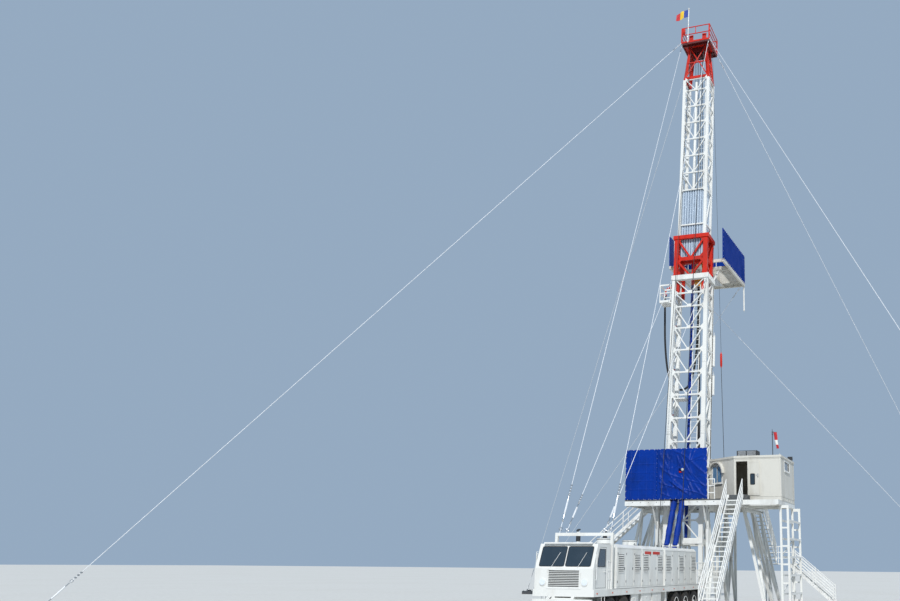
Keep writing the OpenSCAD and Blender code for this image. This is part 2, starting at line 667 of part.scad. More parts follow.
// White cage on the left side, the small landing inside and the cylinders on the right
module mast_fittings() color(white) in_mast() {
    v0 = low_w / 2;
    translate([20, v0, 13500]) cube([70, 200, 60]);
    translate([140, v0, 13500]) cube([70, 200, 60]);
    translate([0, v0 + 50, 13560]) difference() {
        cube([810, 700, 1140]);
        translate([50, 50, 40]) cube([710, 600, 1200]);
        for (k = [0:1]) {
            translate([50, -1, 140 + k * 480]) cube([710, 1000, 430]);
            translate([-1, 50, 140 + k * 480]) cube([1000, 600, 430]);
        }
    }
    translate([bar_u + bar_t + play, 120, 7700]) cube([680, v0 - low_leg - 120, 60]);
    for (c = [[9800, 1900], [8100, 1200]]) {
        translate([1250, -v0 - 85, c[0]]) cylinder(h = c[1], r = 75, $fn = 32);
        for (s = [c[0] + 100, c[0] + c[1] - 200])
            translate([1215, -v0 - 80, s]) cube([70, 80, 100]);
    }
}

frame_top = floor_z - deck_t;
frame_bot = frame_top - beam_h;
inner_y = 1400;                  // the substructure's inner flats
splay = 12.2;                    // lean of its outer flats, in degrees

// One flat of the substructure in a drawing: sill, head, posts and crossed braces
module flat_frame(x0, n, bay, h) {
    w = 120;
    for (z = [0, h - 200]) translate([x0, z]) square([n * bay, 200]);
    for (i = [0:n]) translate([x0 + i * (n * bay - w) / n, 0]) square([w, h]);
    for (i = [0:n - 1]) {
        a = x0 + w / 2 + i * (n * bay - w) / n;
        b = a + (n * bay - w) / n;
        line2([a, 100], [b, h - 100], 75);
        line2([a, h - 100], [b, 100], 75);
    }
}

// Substructure: two inner flats, two outer flats splayed outwards, and their ties
module substructure() color([0.80, 0.82, 0.84]) {
    foot_y = 2980 + frame_bot * tan(splay);
    both_sides() {
        translate([0, inner_y - 75, 0]) stand_xz(150) flat_frame(-3100, 3, 1950, frame_bot);
        intersection() {
            translate([0, 2980, frame_bot]) rotate([splay, 0, 0]) translate([0, -140, -5450])
                stand_xz(140) flat_frame(-1300, 2, 2025, 5500);
            translate([-3000, 0, 0]) cube([9000, 9000, frame_bot]);
        }
        for (x = [-1275, 2590])
            translate([x, inner_y + 75 + eps, 20]) cube([120, foot_y - 200 - inner_y - 75, 140]);
    }
}

// Grid of beams under the deck and the doghouse, with the knee braces behind
beam_w = 150;
module floor_frame() color([0.80, 0.82, 0.84]) {
    // long beams: Y, from X, to X
    for (b = [[2875, floor_x0, floor_x1], [inner_y, floor_x0, floor_x1],
        [-inner_y, floor_x0, floor_x1], [-3125, floor_x0, floor_x1], [-5325, -3900, 450]])
        translate([b[1], b[0] - beam_w / 2, frame_bot]) cube([b[2] - b[1], beam_w, beam_h]);
    // cross beams between them: X, from Y, to Y
    for (x = [-3825, -3025, -1225, 250, 2675], c = [[inner_y, 2875], [-3125, -inner_y],
        [-5325, -3125]])
        if (c[0] > -5000 || x < 1000)
            translate([x - beam_w / 2, c[0] + beam_w / 2 + eps, frame_bot])
                cube([beam_w, c[1] - c[0] - beam_w - 2 * eps, beam_h]);
    // between the inner beams they leave the raising cylinders free
    both_sides() for (b = [[-3825, 400], [-3025, 400], [-1225, eps / 2], [250, eps / 2],
        [2675, eps / 2]])
        translate([b[0] - beam_w / 2, b[1], frame_bot])
            cube([beam_w, inner_y - beam_w / 2 - eps - b[1], beam_h]);
    // porch and landing bearers
    for (x = [1540, 2600]) translate([x, 2950 + eps, frame_bot + 60]) cube([100, 850, 180]);
    for (y = [-2990, -2130]) translate([floor_x1 + eps, y, frame_bot + 60]) cube([850, 100, 180]);
    both_sides() difference() {
        strut([-3800, inner_y, frame_bot + 30], [-3040, inner_y, 4100], 110, 4);
        translate([-3900, 0, frame_bot - eps]) cube([3000, 3000, 900]);
        translate([-3100 - eps, 0, 3000]) cube([3000, 3000, 2000]);
    }
}

// Deck plates: a slot for the mast behind the well and a square hole for the table
slot_x0 = -3100;
slot_x1 = -1350;
slot_y = 1180;
hole = 384;                      // half of the square hole
module plate(x0, y0, x1, y1) translate([x0, y0, frame_top]) cube([x1 - x0, y1 - y0, deck_t]);
module floor_deck() color([0.36, 0.38, 0.40]) {
    plate(hole, -1150, floor_x1, floor_y1);
    plate(dog_x1 + 50, floor_y0, floor_x1, -1150 - eps);
    plate(floor_x0, slot_y, hole - eps, floor_y1);
    plate(slot_x1, hole, hole - eps, slot_y - eps);
    plate(slot_x1, -1150, hole - eps, -hole);
    plate(slot_x1, -hole + eps, -hole, hole - eps);
    plate(floor_x0, 400, slot_x0, slot_y - eps);
    plate(floor_x0, -slot_y + eps, slot_x0, -400);
    translate([0, 0, frame_top]) linear_extrude(deck_t)
        polygon([[floor_x0, -slot_y], [-1835, -slot_y], [-3150, -2900], [floor_x0, -2900]]);
    plate(floor_x0, -3800, -3150, -2900 - eps);
    plate(1500, floor_y1 + eps, floor_x1, 3800);
    plate(floor_x1 + eps, -3010, 3600, -2010);
    // raised step in front of the doghouse door
    translate([floor_x0 + 60, -3750, floor_z + eps]) cube([690, 1050, 200 - eps]);
}

// Panels of the wind walls on the floor, split beside and over the doorways
win_z = 6830;
win_h = 650;
win_y = [[-1320, -640], [560, 1220]];
door_y0 = -2860;
porch_x = [1600, 2400];
module panel_x(y0, y1, z0 = floor_z, z1 = floor_z + wind_h)
    translate([floor_x1 - wall_t, y0, z0]) cube([wall_t, y1 - y0, z1 - z0]);
module panel_y(x0, x1, y, z0 = floor_z, z1 = floor_z + wind_h)
    translate([x0, y, z0]) cube([x1 - x0, wall_t, z1 - z0]);
module wind_walls() color(blue) {
    half = vdoor_w / 2;
    lintel = floor_z + fdoor_h;
    panel_x(floor_y0, door_y0);
    panel_x(door_y0 + eps, door_y0 + fdoor_w, lintel);
    difference() {
        union() {
            panel_x(door_y0 + fdoor_w + eps, -half);
            panel_x(half, floor_y1);
        }
        for (w = win_y) translate([floor_x1 - 200, w[0], win_z]) cube([400, w[1] - w[0], win_h]);
    }
    panel_y(floor_x0 + wall_t + eps, porch_x[0] - eps, floor_y1 - wall_t);
    panel_y(porch_x[0], porch_x[1], floor_y1 - wall_t, lintel);
    panel_y(porch_x[1] + eps, floor_x1 - wall_t - eps, floor_y1 - wall_t);
    panel_y(dog_x1 + 50, floor_x1 - wall_t - eps, floor_y0);
    panel_x(floor_y1 + eps, 3800, floor_z, floor_z + 1750);
    // hinge knuckles and pins for the two doors
    for (y = [door_pin_y, floor_pin_y], z = [400, 1600])
        hinge_fixed(floor_x1 + eps, y, floor_z + z);
}

// Hinges: fixed knuckle with its pin on a wall that faces +X, and the turning knuckle above
pin_r = 8;
knuckle_r = 16;
hinge_out = 27;                  // axis outside the wall's face
leaf_gap = 22;                   // the leaf starts this far from the axis
door_pin_y = vdoor_w / 2 + 20;
floor_pin_y = door_y0 - 20;
module hinge_fixed(x, y, z) {
    translate([x, y - 8, z]) cube([hinge_out - eps, 16, 60]);
    translate([floor_x1 + hinge_out, y, z]) cylinder(h = 60, r = knuckle_r, $fn = 24);
    translate([floor_x1 + hinge_out, y, z]) cylinder(h = 125, r = pin_r, $fn = 24);
}
module hinge_leaf(z) translate([0, 0, z]) difference() {
    union() {
        cylinder(h = 55, r = knuckle_r, $fn = 24);
        translate([0, -7, 0]) cube([leaf_gap + 10, 14, 55]);
    }
    translate([0, 0, -1]) cylinder(h = 60, r = pin_r + 0.05, $fn = 24);
}

// V-door leaf, standing open straight out from the wall
module v_door() color(blue) translate([floor_x1 + hinge_out, door_pin_y, 0]) {
    translate([leaf_gap, -20, floor_z + 20]) cube([990, 40, wind_h - 10]);
    for (z = [400, 1600]) hinge_leaf(floor_z + z + 62);
}

// Door of the front doorway, standing open straight out from the wall
module floor_door() color(blue) translate([floor_x1 + hinge_out, floor_pin_y, 0]) {
    translate([leaf_gap, -20, floor_z + 20]) cube([fdoor_w - 30, 40, fdoor_h - 40]);
    for (z = [400, 1600]) hinge_leaf(floor_z + z + 62);
}

// Tarp across the back of the floor, and the one on the rail beside it
module rear_tarp() color([0.05, 0.14, 0.45]) {
    translate([floor_x0, -1650, floor_z]) cube([wall_t, floor_y1 + 1650, wind_h + 20]);
}

dog_z = frame_top + skid_h;      // the doghouse floor
dog_top = dog_z + dog_h;
oblique = [[-1800, -1200], [dog_x0, -2900]];
door_dog = [-3620, -3620 + dog_door_w];
// Plan of the doghouse, inset by d from its faces
module dog_plan(d = 0) {
    c = d * tan((90 - atan2(1700, 1300)) / 2);
    k = d * tan(atan2(1700, 1300) / 2);
    polygon([[dog_x0 + d, dog_y0 + d], [dog_x1 - d, dog_y0 + d], [dog_x1 - d, -1200 - d],
        [-1800 + k, -1200 - d], [dog_x0 + d, -2900 - c]]);
}

// Doghouse base: skid with its floor
module doghouse_base() color(cream) translate([0, 0, frame_top])
    linear_extrude(skid_h - eps) dog_plan();

// Where the oblique wall's window starts and ends, along the wall from its rear corner
ob_win = [1078, 1923];
ob_z = [6550, 7500];
end_win = [[-2150, 7150], [-850, 7650]];
end_h = end_win[1][1] - end_win[0][1];
module in_oblique() translate([oblique[1][0], oblique[1][1], 0])
    rotate([0, 0, atan2(1700, 1300)]) children();

// Doghouse walls: one slab a wall, split beside and over the doorway
module doghouse_walls() color(cream) {
    lintel = dog_z + dog_door_h;
    difference() {
        translate([0, 0, dog_z]) linear_extrude(dog_h) difference() {
            dog_plan();
            dog_plan(dog_t);
        }
        // seams at the corners, so that each wall is a slab of its own
        translate([dog_x0 - 1, dog_y0 + dog_t, dog_z - 1]) cube([dog_t + 2, eps, dog_h + 2]);
        translate([dog_x1 - dog_t - 1, dog_y0 + dog_t, dog_z - 1]) cube([dog_t + 2, eps, dog_h + 2]);
        translate([dog_x1 - dog_t - eps, -1400, dog_z - 1]) cube([eps, 300, dog_h + 2]);
        translate([-1800 + dog_t * tan(atan2(1700, 1300) / 2) - eps, -1400, dog_z - 1])
            cube([eps, 300, dog_h + 2]);
        translate([dog_x0 - 1, -2900 - dog_t, dog_z - 1]) cube([dog_t + 60, eps, dog_h + 2]);
        // doorway, with the lintel as its own slab
        translate([dog_x0 - 1, door_dog[0], dog_z - 1]) cube([dog_t + 2, dog_door_w, dog_door_h + 1]);
        for (y = door_dog) translate([dog_x0 - 1, y - eps / 2, dog_z - 1])
            cube([dog_t + 2, eps, dog_h + 2]);
        in_oblique() translate([ob_win[0], -200, ob_z[0]])
            cube([ob_win[1] - ob_win[0], 400, ob_z[1] - ob_z[0]]);
        translate([end_win[0][0], dog_y0 - 1, end_win[0][1]])
            cube([end_win[1][0] - end_win[0][0], dog_t + 2, end_win[1][1] - end_win[0][1]]);
    }
    // arched hood over the window in the oblique wall
    in_oblique() translate([(ob_win[0] + ob_win[1]) / 2, eps, 7050]) rotate([-90, 0, 0])
        linear_extrude(160) difference() {
            circle(r = 640, $fn = 64);
            circle(r = 570, $fn = 64);
            translate([-700, 0]) square([1400, 700]);
        }
    // hinge side of the doghouse door
    for (z = [350, 1350]) translate([dog_x0, 0, 0]) mirror([1, 0, 0]) translate([-floor_x1, 0, 0])
        hinge_fixed(floor_x1 + eps, door_dog[0] - 25, dog_z + z);
}

// Doghouse roof with a small overhang
module doghouse_roof() color([0.80, 0.80, 0.76]) translate([0, 0, dog_top + eps])
    linear_extrude(roof_t - eps) dog_plan(-40);

// Doghouse door, folded back flat along the wall, with its window
module doghouse_door() color(cream) translate([dog_x0 - hinge_out, door_dog[0] - 25, 0])
    rotate([0, 0, -90]) {
        difference() {
            translate([leaf_gap, -20, dog_z + 15]) cube([dog_door_w - 12, 40, dog_door_h - 25]);
            translate([leaf_gap + 110, -30, dog_z + 560]) cube([250, 60, 570]);
        }
        for (z = [350, 1350]) hinge_leaf(dog_z + z + 62);
    }

// Housing of the air conditioner on the doghouse roof
module roof_unit() color([0.75, 0.76, 0.74])
    translate([-2900, -4100, dog_top + roof_t + eps]) cube([700, 1100, 300]);

// Tower that carries the doghouse's outer side: two ladders of two legs, tied together
tower_x = [-3025, 100];
tower_y = [-5700, -5325];
module doghouse_tower() color(white) {
    w = 110;
    h = frame_bot - eps;
    for (x = tower_x) {
        translate([x - w / 2, 0, 40]) stand_yz(w) {
            for (y = tower_y) translate([y - w / 2, 0]) square([w, h - 40]);
            for (z = [500 : 900 : 4200]) translate([tower_y[0], z]) square([tower_y[1] - tower_y[0], 80]);
            translate([tower_y[0] - w / 2, h - 190]) square([tower_y[1] - tower_y[0] + w, 150]);
        }
        for (y = tower_y) translate([x - 160, y - 160, 0]) cube([320, 320, 40]);
    }
    gap = tower_x[1] - tower_x[0] - w - 2 * eps;
    for (z = [900 : 900 : 4600], y = tower_y)
        translate([tower_x[0] + w / 2 + eps, y - 45, z]) cube([gap, 90, 90]);
    for (k = [0:1]) difference() {
        strut([tower_x[0], tower_y[1], 1000 + k * 1800], [tower_x[1], tower_y[1], 1850 + k * 1800],
            70, 4);
        for (x = tower_x) translate([x - w / 2 - eps, -5500, 0]) cube([w + 2 * eps, 400, h]);
        for (z = [900 : 900 : 4600])
            translate([-3200, -5500, z - eps]) cube([3500, 400, 90 + 2 * eps]);
    }
}

// Frames and panes of the windows
module ring_frame(x, y0, y1, z, h, t, b = 45) translate([x, y0 + eps, z + eps]) stand_yz(t)
    difference() {
        square([y1 - y0 - 2 * eps, h - 2 * eps]);
        translate([b, b]) square([y1 - y0 - 2 * b - 2 * eps, h - 2 * b - 2 * eps]);
    }
module pane(x, y0, y1, z, h, b = 45) translate([x, y0 + 2 * eps + b, z + 2 * eps + b])
    cube([8, y1 - y0 - 4 * eps - 2 * b, h - 4 * eps - 2 * b]);
module window_frames() color(white) {
    for (w = win_y) ring_frame(floor_x1 - wall_t - 5, w[0], w[1], win_z, win_h, wall_t + 10);
    in_oblique() translate([ob_win[0], 0, 0]) rotate([0, 0, -90])
        ring_frame(0, 0, ob_win[1] - ob_win[0], ob_z[0], ob_z[1] - ob_z[0], dog_t);
    translate([0, dog_y0, 0]) rotate([0, 0, -90]) mirror([1, 0, 0])
        ring_frame(0, end_win[0][0], end_win[1][0], end_win[0][1], end_h, dog_t);
}
module window_glass() color([0.20, 0.28, 0.32]) {
    for (w = win_y) pane(floor_x1 - wall_t / 2, w[0], w[1], win_z, win_h);
    in_oblique() translate([ob_win[0], 0, 0]) rotate([0, 0, -90])
        pane(40, 0, ob_win[1] - ob_win[0], ob_z[0], ob_z[1] - ob_z[0]);
    translate([0, dog_y0, 0]) rotate([0, 0, -90]) mirror([1, 0, 0])
        pane(40, end_win[0][0], end_win[1][0], end_win[0][1], end_h);
}

// Pole at the doghouse's corner and the striped windsock that turns on it
sock_x = -2500;
sock_y = -4870;
module windsock_pole() color(steel) translate([sock_x, sock_y, dog_top + roof_t + eps]) {
    cylinder(h = 30, r = 90, $fn = 24);
    cylinder(h = 1250, r = 22, $fn = 24);
    translate([0, 0, 1150]) cylinder(h = 40, r = 34, $fn = 24);
    translate([0, 0, 1250]) cylinder(h = 200, r = 12, $fn = 24);
}
module windsock() color([0.85, 0.15, 0.10]) translate([sock_x, sock_y, dog_top + roof_t + eps]) {
    z = 1250 + eps;
    difference() {
        translate([0, 0, z]) cylinder(h = 80, r = 30, $fn = 24);
        translate([0, 0, z - 1]) cylinder(h = 100, r = 12.05, $fn = 24);
    }
    translate([-14, -242, z + 20]) cube([28, 215, 40]);
    translate([0, -150, z + 32]) rotate([172, 0, 0]) difference() {
        cylinder(h = 900, r1 = 95, r2 = 60, $fn = 32);
        translate([0, 0, 60]) cylinder(h = 900, r1 = 87, r2 = 52, $fn = 32);
    }
}

// Lamps on the wind walls and on the doghouse
module lamp(x, y, z, turn) translate([x, y, z + eps]) rotate([0, 0, turn]) {
    translate([-15, -15, 0]) cube([30, 30, 90]);
    translate([-40, -130, 90]) cube([110, 260, 190]);
}
module floodlights() color([0.20, 0.20, 0.21]) {
    wt = floor_z + wind_h;
    for (y = [-1950, -1450]) lamp(floor_x1 - wall_t / 2, y, wt, 0);
    lamp(floor_x1 - wall_t / 2, floor_y1 - wall_t - 150, wt, 0);
    lamp(dog_x1 - 150, dog_y0 + 150, dog_top + roof_t, 0);
}

// Stairs. A flight starts at the origin and goes down along +X; each is placed by at_flight
// place: x, y, z of its top, turn, drop, slope, number of rails
mid_z = 2450;
flights = [[floor_x0, -3150, floor_z + 200, 180, floor_z + 200, rear_slope, 3],
    [(porch_x[0] + porch_x[1]) / 2, 3800, floor_z, 90, floor_z, side_slope, 3],
    [3600, -2480, floor_z, 0, floor_z - mid_z, side_slope, 5],
    [7804, -3700, mid_z, -90, mid_z, side_slope, 5]];
str_t = 40;
str_d = 220;
module at_flight(f) translate([f[0], f[1], f[2]]) rotate([0, 0, f[3]]) children();
module stair_stringers() color(white) {
    for (f = flights) at_flight(f) {
        run = f[4] / tan(f[5]);
        for (y = [-stair_w / 2, stair_w / 2 - str_t]) translate([eps, y, 0]) stand_xz(str_t)
            polygon([[0, 0], [run, -f[4]], [run - str_d / tan(f[5]), -f[4]], [0, -str_d]]);
    }
    // half landing of the front stair on its four posts
    translate([7354 + 2 * eps, -3700 + eps, mid_z - 60]) cube([900, 1620, 60]);
    for (x = [7360, 8170], y = [-3680, -2170]) translate([x, y, 0])
        cube([80, 80, mid_z - 60 - eps]);
}
module stair_treads() color(white) for (f = flights) at_flight(f) {
    n = round(f[4] / tread_rise);
    for (i = [1:n - 1]) translate([i * f[4] / tan(f[5]) / n - 185,
        -stair_w / 2 + str_t + eps, -i * f[4] / n - 85])
        cube([240, stair_w - 2 * str_t - 2 * eps, 35]);
}
module stair_rails() color(white) for (f = flights) at_flight(f) {
    run = f[4] / tan(f[5]) - 200;
    d = 42;
    fall = run * tan(f[5]);
    n = ceil(run / 1500);
    for (y = [-stair_w / 2 - d - eps, stair_w / 2 + eps]) translate([150, y, 0]) stand_xz(d) {
        for (i = [0:n]) translate([i * (run - 300) / n, -120 - (150 + i * (run - 300) / n) * tan(f[5])])
            square([d, 120 + hand_h]);
        for (k = [1:f[6]]) {
            z = hand_h * k / f[6] - d;
            line2([d / 2, z - 150 * tan(f[5])], [run - 300 + d / 2, z - (run - 150) * tan(f[5])], d);
        }
    }
}

// Handrails round the porches and landings, and the low rails inside the V-door
module rail_x(x0, x1, y, z, h = rail_h, n = 3) translate([x0, y, z + eps]) stand_xz(42)
    rail_run(x1 - x0, h, n, 42);
module rail_y(y0, y1, x, z, h = rail_h, n = 3) translate([x, y0, z + eps]) stand_yz(42)
    rail_run(y1 - y0, h, n, 42);
module platform_rails() color(white) {
    rail_y(-2060, -1670, floor_x0 + 2, floor_z);
    rail_y(-vdoor_w / 2 + 2, vdoor_w / 2 - 2, floor_x1 - wall_t + 2, floor_z, 750, 2);
    rail_y(2952, 3798, 1502, floor_z);
    for (y = [-3008, -2052]) rail_x(floor_x1 + 4, 3598, y, floor_z);
    rail_y(-3660, -2082, 8210, mid_z);
    rail_x(7400, 8200, -2124, mid_z);
    rail_y(-3655, -2930, 7358, mid_z);
}

// Guy wires: crown guys, board guys and the load guys to the carrier
// each: start, end
frame_x = -15550;                // the guy frame on the carrier
frame_z = 3500;
anchors = [[-21500, 21200], [-21500, -17900], [17500, 19500], [17500, -15500]];
wires = [[mast(-300, 950, taper_top + 60), [anchors[0][0], anchors[0][1], 100]],
    [mast(-300, -950, taper_top + 60), [anchors[1][0], anchors[1][1], 100]],
    [mast(1550, 950, taper_top + 60), [anchors[2][0], anchors[2][1] + 180, 100]],
    [mast(1550, -950, taper_top + 60), [anchors[3][0], anchors[3][1] - 180, 100]],
    [[board_x1 - 60, board_y1 - 60, board_z + 120], [anchors[3][0], anchors[3][1] + 180, 100]],
    [[board_x1 - 60, board_y0 + 260, board_z + 50], [anchors[2][0], anchors[2][1] - 180, 100]],
    [mast(-250, 900, taper_top + 60), [frame_x, 1100, frame_z - 60]],
    [mast(-250, -900, taper_top + 60), [frame_x, -1100, frame_z - 60]],
    [mast(0, 1080, head_s + 150), [frame_x, 820, frame_z - 60]],
    [mast(0, -1080, head_s + 150), [frame_x, -820, frame_z - 60]]];
module guy_wires() color(steel) for (w = wires) difference() {
    union() {
        strut(w[0], w[1], guy_d, 6);
        // turnbuckle near the lower end
        strut(w[1] + 900 * unit(w[0] - w[1]), w[1] + 1500 * unit(w[0] - w[1]), 75, 6);
    }
    in_mast() translate([crown_u - crown_l / 2 - eps, -crown_w / 2 - eps, taper_top - eps])
        cube([crown_l + 2 * eps, crown_w + 2 * eps, 120 + 2 * eps]);
    in_mast() translate([-40 - eps, -low_w / 2 - 45 - eps, head_s - eps])
        cube([400, low_w + 90 + 2 * eps, head_h + 2 * eps]);
    translate([board_x0, board_y0 - eps, board_z - eps])
        cube([board_l + eps, board_y1 - board_y0 + 2 * eps, board_beam + 2 * eps]);
    for (a = anchors) translate([a[0] - 400, a[1] - 400, -1]) cube([800, 800, 221 + eps]);
    translate([frame_x - 60 - eps, -1250, frame_z - 120 - eps])
        cube([120 + 2 * eps, 2500, 120 + 2 * eps]);
}

// Ground anchors, brought in to fit the part
module guy_anchors() color(steel) for (a = anchors)
    translate([a[0] - 400, a[1] - 400, 0]) cube([800, 800, 220]);

// Carrier: frame, deck, axles, jacks and the guy frame behind the cab
axle_x = [-15600, -14200, -7600, -6200, -4800];
jack_x = [-12500, -8900, -3300];
module carrier_chassis() color(white) {
    len = -1900 - car_x0;
    both_sides() translate([car_x0, 330, 800]) cube([len, 130, car_deck - 250 - 800]);
    translate([car_x0, -car_w / 2, car_deck - 250]) cube([len, car_w, 250]);
    translate([car_x0 - 120, -car_w / 2 + 50, 560]) cube([120, car_w - 100, 500]);
    for (x = [car_x0 - 60, -2100]) translate([x, -460, 700]) cube([120, 920, 400]);
    for (x = axle_x) {
        y1 = car_w / 2 - tyre_w - eps;
        translate([x, y1, tyre_r]) rotate([90, 0, 0]) cylinder(h = 2 * y1, r = 75, $fn = 24);
        for (y = [-460, 330]) translate([x - 90, y, tyre_r]) cube([180, 130, 300]);
    }
    both_sides() for (x = jack_x) {
        translate([x - 100, 950, 600]) cube([200, 200, 600]);
        translate([x, 1050, 60]) cylinder(h = 600, r = 60, $fn = 24);
        translate([x, 1050, 0]) cylinder(h = 60, r = 220, $fn = 32);
    }
    both_sides() translate([frame_x - 60, 1140, car_deck + eps])
        cube([120, 110, frame_z - 120 - 2 * eps - car_deck]);
    translate([frame_x - 60, -1250, frame_z - 120]) cube([120, 2500, 120]);
}

// Wheels of the carrier: tyre with a sunk rim and hub
module carrier_wheels() color([0.08, 0.08, 0.09]) both_sides() for (x = axle_x)
    translate([x, car_w / 2 - tyre_w, tyre_r]) rotate([-90, 0, 0]) rotate_extrude($fn = 48)
        polygon([[0, 0], [tyre_r - 60, 0], [tyre_r, 60], [tyre_r, tyre_w - 60],
            [tyre_r - 60, tyre_w], [tyre_r - 240, tyre_w - 20], [tyre_r - 260, 140],
            [150, 140], [130, tyre_w - 60], [0, tyre_w - 60]]);

// Cab with its slanted windscreen
module carrier_cab() color(white) translate([0, -1200, 0]) stand_xz(2400)
    polygon([[car_x0, car_deck], [car_x0, car_deck + 750], [car_x0 + 380, car_deck + 1650],
        [frame_x - 60 - 40, car_deck + 1650], [frame_x - 60 - 40, car_deck]]);

// Housings over the engines and the drawworks, with chamfered roofs
module housing(x0, x1, w) translate([x0, 0, car_deck]) stand_yz(x1 - x0)
    polygon([[-w, 0], [w, 0], [w, hous_h - 120], [w - 120, hous_h], [120 - w, hous_h],
        [-w, hous_h - 120]]);
module carrier_housings() color(white) {
    housing(-14900, -12150, 1150);
    housing(-12050, -9300, 1150);
    housing(-9200, -4400, 1200);
    for (x = [-13500, -10600]) translate([x, 0, hous_top]) cylinder(h = 260, r = 330, $fn = 48);
    translate([-14600, 700, hous_top]) cylinder(h = 500, r = 75, $fn = 32);
    translate([-11800, 700, hous_top]) cylinder(h = 500, r = 75, $fn = 32);
}

// Stand that carries the mast's feet on the carrier
module mast_stand() color(white) {
    in_mast() difference() {
        translate([-40, -low_w / 2 - 20, -220]) cube([low_d + 80, low_w + 40, 220]);
        translate([low_leg, -low_w / 2 + low_leg, -221]) cube([290, low_w - 2 * low_leg, 222]);
        translate([690, -low_w / 2 + low_leg, -221])
            cube([low_d - low_leg - 690, low_w - 2 * low_leg, 222]);
    }
    both_sides() for (p = [[mast_foot_x - 20, 3420], [mast_foot_x + low_d - 220, 3330]])
        translate([p[0], low_w / 2 - 220, car_deck]) cube([220, 220, p[1] - car_deck]);
    both_sides() translate([mast_foot_x + 100, low_w / 2 - 160, car_deck + 900])
        cube([low_d - 200, 100, 160]);
}

// Pair of raising cylinders in their blue covers, on the drawworks housing
module raising_cylinders() color(blue) both_sides() {
    difference() {
        strut([-4850, 230, hous_top + 150], mast(60, 230, 3910), 280, 24);
        in_mast() translate([bar_u - eps, 0, 0]) cube([900, 900, 9000]);
        translate([-6000, 0, 2000]) cube([2000, 600, hous_top + eps - 2000]);
    }
    in_mast() translate([-160, 150, 3890]) cube([160 + bar_u - eps, 160, 120]);
    translate([-5000, 130, hous_top + eps]) cube([300, 200, 120]);
}

carrier_chassis();
carrier_wheels();
carrier_cab();
carrier_housings();
mast_stand();
raising_cylinders();
mast_lower_back();
mast_lower_sides();
mast_collar();
mast_upper_back();
mast_upper_sides();
mast_cladding();
extension_ram();
mast_top_frame();
crown_block();
crown_platform();
crown_sheaves();
flagpole();
flag();
board_frame();
board_fingers();
board_walls();
board_struts();
standpipe();
rotary_hose();
travelling_block();
swivel();
drilling_lines();
kelly();
kelly_bushing();
rotary_table();
mast_fittings();
substructure();
floor_frame();
floor_deck();
wind_walls();
rear_tarp();
window_frames();
window_glass();
v_door();
floor_door();
doghouse_walls();
doghouse_roof();
doghouse_base();
doghouse_door();
doghouse_tower();
roof_unit();
windsock_pole();
windsock();
floodlights();
stair_stringers();
stair_treads();
stair_rails();
platform_rails();
guy_wires();
guy_anchors();
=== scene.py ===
"""Dressed scene of a mobile oil drilling rig, rigged up beside its well.

The CAD frame gives every load-bearing shape. This script adds the materials, the cloth,
the rotary hose and the small fittings, and sets the camera at the photograph's viewpoint.
"""
import math

import bpy
import numpy as np
from mathutils import Matrix


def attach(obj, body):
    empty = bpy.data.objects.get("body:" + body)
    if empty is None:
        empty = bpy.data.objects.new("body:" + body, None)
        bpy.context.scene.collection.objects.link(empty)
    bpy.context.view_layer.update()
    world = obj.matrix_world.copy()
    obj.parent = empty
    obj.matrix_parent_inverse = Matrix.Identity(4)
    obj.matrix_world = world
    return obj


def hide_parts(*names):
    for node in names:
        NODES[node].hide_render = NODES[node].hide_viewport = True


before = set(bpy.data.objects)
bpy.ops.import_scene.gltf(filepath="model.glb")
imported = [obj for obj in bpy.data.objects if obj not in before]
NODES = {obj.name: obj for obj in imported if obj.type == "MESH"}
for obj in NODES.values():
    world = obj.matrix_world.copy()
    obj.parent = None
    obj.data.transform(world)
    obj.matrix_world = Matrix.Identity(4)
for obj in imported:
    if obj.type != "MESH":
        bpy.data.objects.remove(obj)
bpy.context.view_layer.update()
RIG = "rig"

# Mast frame, as in the part's source: u is depth, v is Y, s runs up the lean
LEAN = math.radians(4.32)
FOOT_X, FOOT_Z = -2.985, 3.600


def mast(u, v, s):
    """World place of a point of the mast frame, in metres."""
    return np.array([FOOT_X + u * math.cos(LEAN) + s * math.sin(LEAN), v,
                     FOOT_Z - u * math.sin(LEAN) + s * math.cos(LEAN)])


# Camera: behind the carrier and a little to its right, as in the photograph
cam_data = bpy.data.cameras.new("camera")
cam_data.lens = 34.82
cam_data.sensor_width = 36.0
cam_data.shift_x = -0.2528
cam_data.clip_end = 500.0
cam = bpy.data.objects.new("camera", cam_data)
bpy.context.scene.collection.objects.link(cam)
yaw, pitch, roll = math.radians(18.42), math.radians(16.91), math.radians(0.5)
cam.matrix_world = (Matrix.Translation((-48.35, -14.73, 2.3))
                    @ Matrix.Rotation(yaw - math.pi / 2, 4, "Z")
                    @ Matrix.Rotation(math.pi / 2 + pitch, 4, "X")
                    @ Matrix.Rotation(roll, 4, "Z"))
bpy.context.scene.camera = cam


# Tarpaulins: blue coated cloth, hemmed, with an eyelet every 0.3 m, laced with white cord to
# the frames of the floor and the board. Wind billows them, packing has left its folds, and
# the edges draw in between the eyelets
def linear(code):
    """Linear colour of an sRGB hex code."""
    c = np.array([int(code[i:i + 2], 16) for i in (0, 2, 4)]) / 255.0
    c = np.where(c <= 0.04045, c / 12.92, ((c + 0.055) / 1.055) ** 2.4)
    return (*c.tolist(), 1.0)


